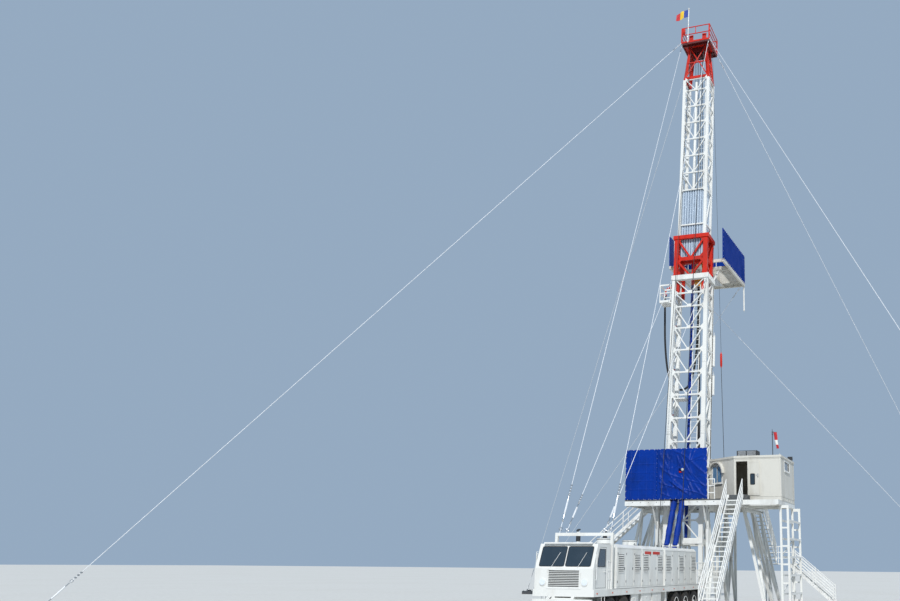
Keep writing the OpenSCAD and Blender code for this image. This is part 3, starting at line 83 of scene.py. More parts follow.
def surface(name, base, dirt, amount=0.4, size=3.0, stretch=(1, 1, 1), rough=0.5, metal=0.0,
            bump=0.15, grain=60.0, coat=0.0, weave=0.0, sheen=0.0, spec=0.5):
    """A base colour with dirt in soft patches, fine grain in the gloss, and bump."""
    m = bpy.data.materials.new(name)
    m.use_nodes = True
    tree = m.node_tree
    tree.nodes.clear()

    def add(kind, out, inputs, **settings):
        """Adds a node, sets its properties, fills or links its inputs, gives an output."""
        node = tree.nodes.new("ShaderNode" + kind)
        for key, value in settings.items():
            setattr(node, key, value)
        for key, value in inputs.items():
            if isinstance(value, bpy.types.NodeSocket):
                tree.links.new(value, node.inputs[key])
            else:
                node.inputs[key].default_value = value
        return node.outputs[out] if out is not None else node

    co = add("TexCoord", "Object", {})
    where = add("Mapping", "Vector", {"Vector": co, "Scale": stretch})
    patch = add("TexNoise", "Fac", {"Vector": where, "Scale": size, "Detail": 6.0,
                                    "Roughness": 0.65})
    fine = add("TexNoise", "Fac", {"Vector": co, "Scale": grain, "Detail": 3.0})
    dirty = add("MapRange", "Result", {"Value": patch, "From Min": 0.48, "From Max": 0.72,
                                       "To Min": 0.0, "To Max": amount})
    tone = add("Mix", 2, {"Factor": dirty, 6: linear(base), 7: linear(dirt)}, data_type="RGBA")
    shade = add("MapRange", "Result", {"Value": fine, "From Min": 0.3, "From Max": 0.7,
                                       "To Min": 0.93, "To Max": 1.05})
    tint = add("CombineColor", "Color", {0: shade, 1: shade, 2: shade})
    colour = add("Mix", 2, {"Factor": 1.0, 6: tone, 7: tint}, data_type="RGBA",
                 blend_type="MULTIPLY")
    height = fine
    if weave:
        cloth = add("TexWave", "Fac", {"Vector": co, "Scale": weave, "Distortion": 0.5},
                    bands_direction="DIAGONAL")
        height = add("Math", 0, {0: fine, 1: cloth}, operation="ADD")
    normal = add("Bump", "Normal", {"Height": height, "Strength": bump, "Distance": 0.02})
    dull = add("MapRange", "Result", {"Value": patch, "From Min": 0.3, "From Max": 0.8,
                                      "To Min": rough - 0.08, "To Max": rough + 0.15})
    shader = add("BsdfPrincipled", "BSDF", {
        "Base Color": colour, "Roughness": dull, "Metallic": metal, "Normal": normal,
        "Coat Weight": coat, "Sheen Weight": sheen, "Specular IOR Level": spec})
    add("OutputMaterial", None, {"Surface": shader})
    return m


M = {}


def paint(key, names):
    """Gives nodes of the CAD frame one finish."""
    for name in names.split():
        slots = NODES[name].data.materials
        slots.clear()
        slots.append(M[key])


TARP = dict(size=1.1, bump=0.25, weave=140.0)
# Polyester, woven and coated with vinyl: smooth, so that each fold takes a soft shine
M["blue_tarp"] = surface("blue_tarpaulin", "00308C", "042256", amount=0.5, rough=0.32,
                         spec=0.16, **TARP)
# The same cloth after years in the sun: dull, so the walls stay a deep blue
M["blue_cover"] = surface("blue_wall_cover", "003088", "042256", amount=0.45, rough=0.7,
                          spec=0.05, **TARP)
# Laid polyester cord: bright white and matt
M["lace"] = surface("white_lacing_cord", "EEEDE8", "B5B0A6", amount=0.3, size=6.0, rough=0.7,
                    bump=0.2)
paint("blue_tarp", "rear_tarp")

X, Y, Z = (1, 0, 0), (0, 1, 0), (0, 0, 1)


class Shape:
    """Vertices and faces of one piece, in world metres."""

    def __init__(self):
        self.v, self.f, self.n = [], [], 0

    def put(self, verts, faces):
        """Joins a block of vertices and its faces."""
        self.v.append(np.asarray(verts, float))
        self.f += [[i + self.n for i in face] for face in faces]
        self.n += len(verts)
        return self

    def box(self, lo, hi, frame_of=None):
        """A box between two corners, in the world or through a placing function."""
        c = np.array([[(lo, hi)[i][0], (lo, hi)[j][1], (lo, hi)[k][2]]
                      for i in (0, 1) for j in (0, 1) for k in (0, 1)], float)
        if frame_of:
            c = np.array([frame_of(*p) for p in c])
        return self.put(c, [[0, 1, 3, 2], [4, 6, 7, 5], [0, 4, 5, 1], [2, 3, 7, 6],
                            [0, 2, 6, 4], [1, 5, 7, 3]])

    def slab(self, x, y, z0, z1, a, b):
        """A box by its middle in plan with half sizes a and b, between two heights."""
        return self.box((x - a, y - b, z0), (x + a, y + b, z1))

    def tube(self, path, r, sides=8):
        """A round bar along a path; r is one radius or one for each point."""
        p = np.asarray(path, float)
        r = np.broadcast_to(np.asarray(r, float), (len(p),))
        d = np.gradient(p, axis=0)
        d /= np.linalg.norm(d, axis=1)[:, None]
        ref = np.eye(3)[np.argmin(np.abs(d).max(axis=0))]
        a = np.cross(d, ref)
        a /= np.linalg.norm(a, axis=1)[:, None]
        b = np.cross(d, a)
        w = np.linspace(0, 2 * np.pi, sides, endpoint=False)
        rings = (p[:, None] + r[:, None, None] * (np.cos(w)[None, :, None] * a[:, None]
                 + np.sin(w)[None, :, None] * b[:, None])).reshape(-1, 3)
        m = len(p)
        faces = [[i * sides + k, i * sides + (k + 1) % sides,
                  (i + 1) * sides + (k + 1) % sides, (i + 1) * sides + k]
                 for i in range(m - 1) for k in range(sides)]
        faces += [list(range(sides))[::-1], [(m - 1) * sides + k for k in range(sides)]]
        return self.put(rings, faces)

    def bar(self, p, q, w, h=None, up=Z):
        """A square bar of width w and height h from p to q."""
        p, q, h = np.asarray(p, float), np.asarray(q, float), h or w
        d = (q - p) / np.linalg.norm(q - p)
        a = np.cross(d, up)
        if np.linalg.norm(a) < 1e-4:
            a = np.cross(d, X)
        a /= np.linalg.norm(a)
        b = np.cross(a, d)
        c = [e + x * a * w / 2 + y * b * h / 2 for e in (p, q)
             for x, y in ((-1, -1), (1, -1), (1, 1), (-1, 1))]
        return self.put(c, [[0, 1, 2, 3], [7, 6, 5, 4], [0, 4, 5, 1], [1, 5, 6, 2],
                            [2, 6, 7, 3], [3, 7, 4, 0]])

    def disc(self, centre, axis, r, t, sides=12):
        """A short cylinder centred on a point."""
        c, a = np.asarray(centre, float), np.asarray(axis, float)
        a = a / np.linalg.norm(a)
        return self.tube([c - a * t / 2, c + a * t / 2], r, sides)

    def plate(self, outline, t, place):
        """A flat plate: an outline of pairs, t thick, laid by place(a, b, c)."""
        n = len(outline)
        v = [place(a, b, c) for c in (0.0, t) for a, b in outline]
        return self.put(v, [list(range(n))[::-1], [n + i for i in range(n)]]
                        + [[i, (i + 1) % n, n + (i + 1) % n, n + i] for i in range(n)])

    def bolts(self, points, axis, r=0.018, t=0.024):
        """Hexagon heads centred on points."""
        for p in points:
            self.disc(p, axis, r, t, 6)
        return self

    def ring(self, centre, axis, r, thick, steps=24, sides=6):
        """A round bar bent to a circle."""
        a = np.asarray(axis, float)
        a = a / np.linalg.norm(a)
        x = np.cross(a, np.eye(3)[np.argmin(np.abs(a))])
        x /= np.linalg.norm(x)
        w = np.linspace(0, 2 * np.pi, steps + 1)[:, None]
        path = np.asarray(centre) + r * (np.cos(w) * x + np.sin(w) * np.cross(a, x))
        return self.tube(path, thick, sides)

    def make(self, name, material, body=RIG, smooth=False, bevel=0.0):
        """The piece as an object that rides on a body."""
        mesh = bpy.data.meshes.new(name)
        mesh.from_pydata(np.concatenate(self.v).tolist(), [], self.f)
        mesh.materials.append(M[material])
        if smooth:
            mesh.polygons.foreach_set("use_smooth", np.ones(len(mesh.polygons), bool))
        obj = bpy.data.objects.new(name, mesh)
        bpy.context.scene.collection.objects.link(obj)
        if bevel:
            mod = obj.modifiers.new("bevel", "BEVEL")
            mod.width, mod.segments = bevel, 2
        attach(obj, body)
        return obj


def thicken(obj, t):
    """Gives a sheet its thickness."""
    cloth = obj.modifiers.new("cloth", "SOLIDIFY")
    cloth.thickness, cloth.offset = t, 0.0


def on_plane(origin, across, up):
    """Placing function of a plane: a goes across, b up, c out of it."""
    o, x, y = (np.asarray(q, float) for q in (origin, across, up))
    n = np.cross(x, y)
    return lambda a, b, c=0.0: o + a * x + b * y + c * n


def upright(x=0.0, y=0.0, across=X):
    """Placing function of a wall through x, y: a goes across, b is the height."""
    return on_plane((x, y, 0), across, Z)


RIGHTWARD, BACKWARD = (0, -1, 0), (-1, 0, 0)
FRONT = upright(2.75, across=Y)
BACK = upright(-3.9, across=RIGHTWARD)
LEFT = upright(y=2.95, across=BACKWARD)
RIGHT = upright(y=-3.2)
MESH, EYELETS, TARP_T, CUT_GAP = 0.03, 0.3, 0.003, 0.008
PROUD, LACE_OUT = 0.004, 0.010           # how far sheets and laces lie out of the wall
FADE, RIM_FADE, DRAW, DRAW_REACH = 0.18, 0.10, 0.012, 0.10
PACKED = 0.44            # side of the square that a sheet is packed to
laces = Shape()


def cuts(lo, hi, more):
    """Grid lines from lo to hi, with the edges of the holes among them."""
    inside = [q for q in more if lo < q < hi]
    even = np.linspace(lo, hi, max(8, int((hi - lo) / MESH)) + 1)
    return np.array(sorted([q for q in even if all(abs(q - e) > CUT_GAP for e in inside)]
                           + inside))


def folded(A, B, box, rng, folds, creases, pulls):
    """Relief of a sheet, about 1 high: slow sine billows, narrow Gaussian ridges, sharp
    creases where warped sine waves cross zero, and pulls, which are lop-sided ridges
    between two points, steep on one side."""
    high = np.zeros_like(A)
    for _ in range(5):
        w, p = rng.uniform(1.0, 3.5, 2), rng.uniform(0, 6.28, 2)
        high += 0.35 * np.sin(w[0] * A + p[0]) * np.sin(w[1] * B + p[1])
    for _ in range(folds):
        at, turned = rng.uniform(box[::2], box[1::2]), rng.uniform(-1.1, 1.1)
        c, h = math.cos(turned), math.sin(turned)
        off = (A - at[0]) * c + (B - at[1]) * h
        along = (B - at[1]) * c - (A - at[0]) * h
        high += (rng.uniform(0.5, 1.4) * np.exp(-(off / rng.uniform(0.02, 0.07)) ** 2)
                 * np.exp(-(along / rng.uniform(0.3, 0.9)) ** 2))
    for _ in range(creases):
        w, k, p = rng.uniform(-4.5, 4.5, 2), rng.uniform(1, 3, 2), rng.uniform(0, 6.28, 3)
        warp = np.sin(k[0] * A + p[1]) + np.sin(k[1] * B + p[2])
        cross = 1 - np.abs(np.sin(w[0] * A + w[1] * B + p[0] + warp))
        high += rng.uniform(0.6, 1.6) * cross ** 5
    for a_from, b_from, a_to, b_to, size in pulls:
        far = math.hypot(a_to - a_from, b_to - b_from)
        x, y = (a_to - a_from) / far, (b_to - b_from) / far
        along = np.clip(((A - a_from) * x + (B - b_from) * y) / far, 0, 1)
        off = (B - b_from) * x - (A - a_from) * y
        high += (size * np.exp(-(off / np.where(off > 0, 0.028, 0.11)) ** 2)
                 * np.sin(np.pi * along) ** 0.6)
    return high


def tarp(name, place, a0, a1, b0, b1, seed, holes=(), depth=0.012, folds=14, creases=0, grid=0.0,
         seams=(), pulls=(), rim=0.0, on=("wind_walls",), material="blue_cover"):
    """A sheet between a0, a1 and b0, b1 with its relief and a grid of packing folds. All
    fall to nothing at the edges, which draw in between the eyelets. An edge named in
    seams has no lacing. A rim lies flat round each hole."""
    a = cuts(a0, a1, [h[i] for h in holes for i in (0, 1)])
    b = cuts(b0, b1, [h[i] for h in holes for i in (2, 3)])
    A, B = np.meshgrid(a, b, indexing="ij")
    high = folded(A, B, (a0, a1, b0, b1), np.random.default_rng(seed), folds, creases, pulls)
    for q in (A, B):
        high += grid / depth * np.exp(-((q - np.round(q / PACKED) * PACKED) / 0.014) ** 2)
    side_a, side_b = np.minimum(A - a0, a1 - A), np.minimum(B - b0, b1 - B)
    edge = np.minimum(side_a, side_b)
    high = depth * np.abs(high) * np.clip(edge / FADE, 0, 1)
    for h in holes if rim else ():
        off = np.maximum.reduce([h[0] - A, A - h[1], h[2] - B, B - h[3]])
        high = high * np.clip((off - rim) / RIM_FADE, 0, 1)
    draw = DRAW * np.clip(1 - edge / DRAW_REACH, 0, 1)
    near_a = side_a < side_b
    A2 = A - (np.sign(A - (a0 + a1) / 2) * draw * np.sin(np.pi * (B - b0) / EYELETS) ** 2
              * near_a)
    B2 = B - (np.sign(B - (b0 + b1) / 2) * draw * np.sin(np.pi * (A - a0) / EYELETS) ** 2
              * ~near_a)
    o = place(0, 0)
    x, y, n = place(1, 0) - o, place(0, 1) - o, place(0, 0, 1) - o
    v = o + A2[..., None] * x + B2[..., None] * y + (PROUD + high)[..., None] * n
    ca, cb = (a[1:, None] + a[:-1, None]) / 2, (b[1:] + b[:-1]) / 2
    keep = np.ones((len(ca), len(cb)), bool)
    for h in holes:
        keep &= ~((ca > h[0]) & (ca < h[1]) & (cb > h[2]) & (cb < h[3]))
    i, j = np.nonzero(keep)
    m = len(b)
    faces = np.stack([i * m + j, (i + 1) * m + j, (i + 1) * m + j + 1, i * m + j + 1], 1)
    used, back = np.unique(faces, return_inverse=True)
    obj = Shape().put(v.reshape(-1, 3)[used], back.reshape(-1, 4).tolist()).make(
        name, material, smooth=True)
    thicken(obj, TARP_T)
    ends = [((e, q), (e + d * 0.05, q + 0.012)) for q in np.arange(b0 + 0.15, b1 - 0.05, EYELETS)
            for e, d in ((a0, 1), (a1, -1)) if e not in seams]
    ends += [((q, e), (q + 0.008, e + d * 0.05)) for q in np.arange(a0 + 0.15, a1 - 0.05, EYELETS)
             for e, d in ((b0, 1), (b1, -1))]
    for p, q in ends:
        if not any(h[0] - 0.02 < q[0] < h[1] + 0.02 and h[2] - 0.02 < q[1] < h[3] + 0.02
                   for h in holes):
            laces.bar(place(*p, LACE_OUT), place(*q, LACE_OUT), 0.014, 0.008)
    return obj


# Rotary hose: rubber over wire plies, clamped at the standpipe's gooseneck and at the swivel.
# It hangs in a loop along the route of part.scad, here in metres
# Moulded rubber with cloth marks in its cover: black with a dull sheen
M["rubber"] = surface("black_rubber", "161617", "3A3733", rough=0.6, bump=0.25)
paint("rubber", "rotary_hose")
HOSE_R, STEPS = 0.059, 12            # radius, and points between two points of the route
hose_start = mast(1.150, 1.910, 14.4397)
ROUTE = [hose_start, (-0.762, 1.905, 16.5), (-0.740, 1.880, 15.0), (-0.670, 1.780, 13.65),
         (-0.560, 1.610, 12.8), (-0.390, 1.360, 12.33), (-0.170, 1.050, 12.2),
         (0.070, 0.720, 12.42), (0.230, 0.460, 13.1), (0.330, 0.290, 14.3),
         (0.385, 0.200, 16.0), (0.400, 0.160, 17.6), (0.400, 0.160, 18.85)]


def smooth_route(points):
    """Points along the same curve as the CAD hose, with its end directions."""
    p = [np.asarray(q, float) for q in points]
    first = 2 * p[0] - mast(1.150, 1.910, 13.040)
    p = [first] + p + [p[-1] + (0, 0, 1.25)]
    out = []
    for i in range(1, len(p) - 2):
        a, b, c, d = p[i - 1:i + 3]
        for t in np.arange(STEPS) / STEPS:
            out.append(0.5 * (2 * b + (c - a) * t + (2 * a - 5 * b + 4 * c - d) * t ** 2
                              + (3 * b - a - 3 * c + d) * t ** 3))
    return np.array(out + [p[-2]])


route = smooth_route(ROUTE)
hose = Shape().tube(route, HOSE_R, 20).make("rotary_hose_tube", "rubber", smooth=True)
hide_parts("rotary_hose")

# Rear tarpaulins: two sheets on a frame of welded tube, with a seam between them. The right
# one is dragged into folds by the pipes that come through its hole
TALL = (1, 1, 0.4)      # patches of dirt drawn out in streaks down the surface
# Gloss paint brushed on tube: bright white, grimy where it is held
M["white_rail"] = surface("white_rail_paint", "E4E4E0", "8E8474", size=2.5, rough=0.4, bump=0.05)
# Machinery enamel, sprayed: an even pale grey
M["pale_grey"] = surface("pale_grey_paint", "BFC4C8", "7D7A72", amount=0.45, size=1.1,
                         rough=0.48, bump=0.08)
# Enamel, sprayed: clear red, with brown dirt in streaks
M["red_paint"] = surface("red_paint", "C42410", "6A180C", size=1.6, stretch=TALL, rough=0.42,
                         bump=0.06, spec=0.3)
FLOOR_Z, WALL_TOP, RAIL_X = 5.6, 8.25, -3.868
rail = Shape()
for y in (-1.62, -0.70, 0.22, 1.30, 2.03, 2.92):
    rail.tube([(RAIL_X, y, FLOOR_Z), (RAIL_X, y, WALL_TOP)], 0.018)
for z in (6.6, 7.6, WALL_TOP):
    rail.tube([(RAIL_X, -1.62, z), (RAIL_X, 2.92, z)], 0.018)
rail.make("rear_tarp_frame", "white_rail", smooth=True)
flap = Shape()
for z in np.arange(5.62, 8.2, 0.24):
    flap.box((-3.889, 1.10, z), (-3.886, 1.20, z + 0.225))
flap.make("rear_tarp_flaps", "blue_cover")
# Folds that the pipes drag into the right sheet: from a, b to a, b, and their size
PULLS = ((-1.01, 8.12, -0.44, 7.15, 2.0), (-0.04, 7.95, 0.26, 7.28, 2.2),
         (0.16, 7.95, 0.95, 6.6, 1.8), (0.60, 5.85, -0.50, 6.62, 3.0),
         (0.95, 5.8, 0.36, 7.0, 2.0), (-0.85, 5.7, -1.05, 7.2, 2.0),
         (-0.36, 5.7, -0.15, 7.1, 1.4), (1.40, 5.75, 0.75, 6.6, 1.8),
         (-1.0, 6.2, 0.1, 6.4, 1.2), (1.50, 7.9, 0.50, 7.5, 1.2),
         (0.75, 8.2, 0.62, 7.2, 1.2), (-0.6, 8.2, -0.45, 7.3, 1.1))
PIPE_HOLE = (0.075, 0.34, 6.98, 7.21)
REAR = dict(on=("rear_tarp_frame",), material="blue_tarp")
right_tarp = tarp("rear_tarp_right", BACK, -1.135, 1.65, 5.61, 8.27, 11, [PIPE_HOLE], 0.034, 10,
                  creases=3, seams=(-1.135,), pulls=PULLS, **REAR)
left_tarp = tarp("rear_tarp_left", BACK, -2.945, -1.165, 5.61, 8.27, 5, depth=0.014, folds=6,
                 grid=0.026, seams=(-1.165,), **REAR)
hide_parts("rear_tarp")
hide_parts("rear_tarp")
Shape().tube([(-3.97, -0.30, 7.14), (-3.6, -0.30, 7.14)], 0.05, 16).disc(
    (-3.96, -0.30, 7.14), X, 0.075, 0.04, 20).make("tarp_pipe_end", "pale_grey", smooth=True)
Shape().tube([(-3.96, -0.15, 7.02), (-3.6, -0.15, 7.02)], 0.04, 16).make(
    "tarp_pipe_end_low", "red_paint", smooth=True)

# Wind walls of the floor: steel sheet on posts, each panel covered by its own tarpaulin,
# which is cut out at the doorways and windows
# Sheet steel, painted: the covers' blue, almost without shine
M["blue_sheet"] = surface("blue_painted_sheet", "003088", "06204A", amount=0.45, size=0.7,
                          stretch=TALL, rough=0.6, bump=0.08, spec=0.08)
paint("blue_sheet", "board_walls wind_walls v_door floor_door")
FRONT_WINDOWS, WINDOW_Z = ((-1.32, -0.64), (0.56, 1.22)), (6.83, 7.48)
for name, place, a0, a1, b1, seed, more in (
        ("front_tarp_1", FRONT, -3.195, -1.385, 8.24, 21, dict(holes=[(-2.86, -2.10, 5.61, 7.6)])),
        ("front_tarp_2", FRONT, -1.375, -0.51, 8.24, 22,
         dict(holes=[FRONT_WINDOWS[0] + WINDOW_Z], rim=0.05)),
        ("front_tarp_3", FRONT, 0.51, 1.245, 8.24, 23,
         dict(holes=[FRONT_WINDOWS[1] + WINDOW_Z], rim=0.05)),
        ("front_tarp_4", FRONT, 1.255, 2.945, 8.24, 24, dict(depth=0.016)),
        ("porch_tarp", FRONT, 2.955, 3.795, 7.345, 25, {}),
        ("left_tarp_1", LEFT, 0.60, 3.845, 8.24, 26, dict(depth=0.016)),
        ("left_tarp_2", LEFT, -2.695, 0.59, 8.24, 27, dict(holes=[(-2.4, -1.6, 5.61, 7.6)])),
        ("right_tarp", RIGHT, 0.455, 2.695, 8.24, 28, {})):
    tarp(name, place, a0, a1, 5.61, b1, seed, **more)

# Wind walls of the pipe board: three sheets, laced to the board's own frame and folded flat
# before they were hung, so only the packing folds show
for name, place, a0, a1, seed in (("board_tarp_front", upright(5.05, across=Y), -1.635, 1.985, 31),
                                  ("board_tarp_right", upright(y=-1.64), -0.345, 5.0, 32),
                                  ("board_tarp_left", upright(y=1.99, across=BACKWARD),
                                   -5.0, -0.155, 33)):
    tarp(name, place, a0, a1, 20.14, 22.075, seed, depth=0.010, folds=8, grid=0.004,
         on=("board_walls",))
laces.make("tarp_lacing", "lace")

# Frames behind the wind walls and round the board: square steel tubes, welded upright to the
# floor's and the board's edges, that carry the sheets
BOARD_LOW, BOARD_TOP = 20.13, 22.08
ribs = Shape()
for y in (-3.1, -2.0, -1.45, -0.55, 0.55, 1.3, 2.1, 2.85):
    ribs.box((2.64, y - 0.02, FLOOR_Z), (2.70, y + 0.02, WALL_TOP))
for x in np.arange(-3.7, 2.7, 0.9):
    if not 1.5 < x < 2.5:
        ribs.box((x - 0.02, 2.84, FLOOR_Z), (x + 0.02, 2.90, WALL_TOP))
for x in (0.6, 1.6, 2.6):
    ribs.box((x - 0.02, -3.15, FLOOR_Z), (x + 0.02, -3.09, WALL_TOP))
for x in np.arange(0.0, 4.9, 0.95):
    ribs.box((x - 0.02, -1.59, BOARD_LOW), (x + 0.02, -1.54, BOARD_TOP))
    if x > 0.3:
        ribs.box((x - 0.02, 1.89, BOARD_LOW), (x + 0.02, 1.94, BOARD_TOP))
for y in np.arange(-1.3, 1.9, 0.8):
    ribs.box((4.95, y - 0.02, BOARD_LOW), (5.0, y + 0.02, BOARD_TOP))
ribs.make("wall_ribs", "white_rail")

# Flag: dyed woven polyester in three bands along its fly, tied twice to a white pole on the
# crown. It droops from the pole's top in soft folds
CLOTH = dict(size=4.0, bump=0.2, weave=400.0, sheen=0.3)
# Woven and dyed: flat colour with a soft light on its edges; the weave is drawn coarse
for key, name, base, dirt in (("flag_blue", "blue_flag_cloth", "1B3C96", "142A66"),
                              ("flag_yellow", "yellow_flag_cloth", "EAC01C", "B58C18"),
                              ("flag_red", "red_flag_cloth", "C01F26", "84161A")):
    M[key] = surface(name, base, dirt, amount=0.3, rough=0.75, **CLOTH)
# Enamel, sprayed: white with a gloss, and dust that rain has drawn down it
M["white_paint"] = surface("white_paint", "E0E0DB", "A09684", amount=0.35, size=0.9,
                           stretch=(1, 1, 0.35), rough=0.42, bump=0.05, coat=0.2)
paint("blue_tarp", "flag")
paint("white_paint", "flagpole")
THIN_CLOTH = 0.0015
POLE_U, POLE_V, POLE_S = -0.3533, 0.5303, 34.31
n_fly, n_drop = 64, 36


def quads(n, m, closed=False):
    """Quads of an n by m grid of points, or of n closed rings of m points."""
    return [[i * m + j, (i + 1) * m + j, (i + 1) * m + (j + 1) % m, i * m + (j + 1) % m]
            for i in range(n - 1) for j in range(m if closed else m - 1)]


fly, drop = np.meshgrid(np.linspace(0, 1, n_fly), np.linspace(0, 1, n_drop), indexing="ij")
sag = 0.26 * fly ** 1.5
fold = (0.055 * np.sin(9.5 * fly + 1.6 * drop) + 0.022 * np.sin(21 * fly - 3 * drop)) * fly ** 0.7
local = np.stack([POLE_U + fold, POLE_V + 0.02 + 0.86 * fly * (1 - 0.06 * fly),
                  POLE_S - 0.03 - 0.60 * drop * (1 - 0.04 * fly) - sag], -1).reshape(-1, 3)
turn = np.array([mast(1, 0, 0) - mast(0, 0, 0), Y, mast(0, 0, 1) - mast(0, 0, 0)])
flag = Shape().put(mast(0, 0, 0) + local @ turn, quads(n_fly, n_drop)).make(
    "flag_cloth", "flag_blue", smooth=True)
for kind in ("flag_yellow", "flag_red"):
    flag.data.materials.append(M[kind])
flag.data.polygons.foreach_set("material_index",
                               np.repeat(np.arange(n_fly - 1) * 3 // (n_fly - 1), n_drop - 1))
thicken(flag, THIN_CLOTH)
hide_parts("flag")
ties = Shape()
for s in (POLE_S - 0.05, POLE_S - 0.62):
    ties.ring(mast(POLE_U, 0.5, s), mast(0, 0, 1) - mast(0, 0, 0), 0.036, 0.005, 16)
    ties.bar(mast(POLE_U, 0.533, s), mast(POLE_U, 0.556, s), 0.008)
ties.make("flag_ties", "lace")

# Windsock: a limp cone of striped cloth, sewn to a wire hoop that turns on the head of its
# steel pole beside the doghouse
M["white_cloth"] = surface("white_sock_cloth", "E6E4DE", "B5B0A6", amount=0.3, rough=0.8, **CLOTH)
# Steel, rolled and greased: dark grey, with brown where dust sticks
M["dark_steel"] = surface("dark_grey_steel", "4A4E52", "6B5A48", amount=0.5, size=1.8,
                          rough=0.55, metal=0.4, bump=0.2)
paint("blue_tarp", "windsock")
paint("dark_steel", "windsock_pole")
SOCK = np.array([-2.5, -5.02, 9.14])
n_len, n_round = 60, 40
t, w = np.meshgrid(np.linspace(0, 1, n_len), np.linspace(0, 2 * np.pi, n_round + 1)[:-1],
                   indexing="ij")
flat_x = 1 - 0.55 * t
r = (0.095 - 0.035 * t) * (1 + 0.10 * t * np.sin(5 * w + 9 * t) + 0.05 * np.sin(3 * w - 14 * t) * t)
v = np.stack([SOCK[0] + r * np.cos(w) * flat_x + 0.02 * np.sin(7 * t) * t,
              SOCK[1] + r * np.sin(w) - 0.115 * t - 0.015 * np.sin(9 * t) * t,
              SOCK[2] - 0.86 * t + 0.01 * np.cos(w)], -1).reshape(-1, 3)
sock = Shape().put(v, quads(n_len, n_round, closed=True)).make(
    "windsock_cloth", "flag_red", "windsock_body", smooth=True)
sock.data.materials.append(M["white_cloth"])
band = (np.arange(n_len - 1) > 0.45 * n_len) & (np.arange(n_len - 1) < 0.75 * n_len)
sock.data.polygons.foreach_set("material_index", np.repeat(band.astype(int), n_round))
thicken(sock, THIN_CLOTH)
hoop = Shape().ring(SOCK, Z, 0.095, 0.006, 32)
hoop.tube([SOCK + (0, 0.095, 0), (-2.5, -4.895, 9.16)], 0.006)
for x in (0.09, -0.09):
    hoop.tube([SOCK + (x, 0, 0), (-2.5, -4.9, 9.19)], 0.004)
hoop.tube([(-2.5, -4.87, 9.122), (-2.5, -4.87, 9.20)], 0.028, 20)
hoop.make("windsock_hoop", "dark_steel", "windsock_body", smooth=True)
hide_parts("windsock")


# Wraps of the extension ram and the raising cylinders: blue cloth, wound round the steel and
# tied with black cord, that keeps dust off the polished rods
# Woven and thinly coated cloth: creased, with a little shine
M["blue_wrap"] = surface("blue_wrapping_cloth", "00308C", "042050", amount=0.5, size=2.0,
                         bump=0.4, weave=140.0, spec=0.28)
# Enamel, brushed: black and half dull
M["black_paint"] = surface("black_paint", "1C1D1F", "4A4640")
paint("blue_wrap", "extension_ram raising_cylinders")
def wrap(name, p, q, r, seed, tie=0.9, out=0.02):
    """A tube of cloth: its radius swells between the ties by a sine hump and carries
    ridges that run along it."""
    p, q = np.asarray(p, float), np.asarray(q, float)
    length = np.linalg.norm(q - p)
    d = (q - p) / length
    x = np.cross(d, Y)
    x /= np.linalg.norm(x)
    y = np.cross(d, x)
    rng = np.random.default_rng(seed)
    n, m = max(40, int(length / 0.05)), 40
    t, w = np.meshgrid(np.linspace(0, 1, n), np.linspace(0, 2 * np.pi, m + 1)[:-1],
                       indexing="ij")
    hump = np.sin(np.pi * t * length / tie) ** 2
    ridge = sum(np.sin(k * w + rng.uniform(0, 6.3) + rng.uniform(1, 5) * t * length)
                for k in (3, 5, 8)) / 3
    rr = r + out * hump * (0.55 + 0.45 * ridge) + 0.002
    v = (p + (t * length)[..., None] * d + (rr * np.cos(w))[..., None] * x
         + (rr * np.sin(w))[..., None] * y).reshape(-1, 3)
    cloth = Shape().put(v, quads(n, m, closed=True)).make(name, "blue_wrap", smooth=True)
    thicken(cloth, THIN_CLOTH)
    cords = Shape()
    for k in range(1, int(length / tie) + 1):
        cords.ring(p + d * min(k * tie, length - 0.02), d, r + 0.008, 0.006, 28)
    cords.make(name + "_ties", "black_paint", smooth=True)


wrap("ram_wrap", mast(0.6, 0, 0.30), mast(0.6, 0, 14.55), 0.084, 1, 0.62,
     out=0.016)
foot, top = np.array([-4.85, 0.23, 3.23]), mast(0.06, 0.23, 3.91)
for side, name in ((1, "left"), (-1, "right")):
    flip = np.array([1, side, 1])
    a, b = foot + 0.10 * (top - foot), foot + 0.93 * (top - foot)
    wrap(f"{name}_cylinder_wrap", a * flip, b * flip, 0.142, 5 + side, 0.75,
         out=0.030)


# Mast: two welded lattice sections of square tube, painted white. Gussets stiffen its joints,
# and cover plates are bolted over the splices of its legs
paint("white_paint", "mast_lower_back mast_lower_sides mast_upper_back mast_upper_sides")
paint("white_paint", "mast_fittings")
U, V, S = turn


def on_back(u):
    """Face of the mast looking back: a is v, b is s, c comes out."""
    return lambda a, b, c=0.0: mast(u - c, a, b)


def on_side(v):
    """Side of the mast: a is u, b is s, c comes out."""
    return lambda a, b, c=0.0: mast(a, v + math.copysign(c, v), b)


def mast_box(shape, u, v, s):
    """A box between pairs of u, v and s."""
    return shape.box((u[0], v[0], s[0]), (u[1], v[1], s[1]), mast)


def square(a):
    """The corners of a square with half side a, as pairs."""
    return [(x, y) for x in (-a, a) for y in (-a, a)]


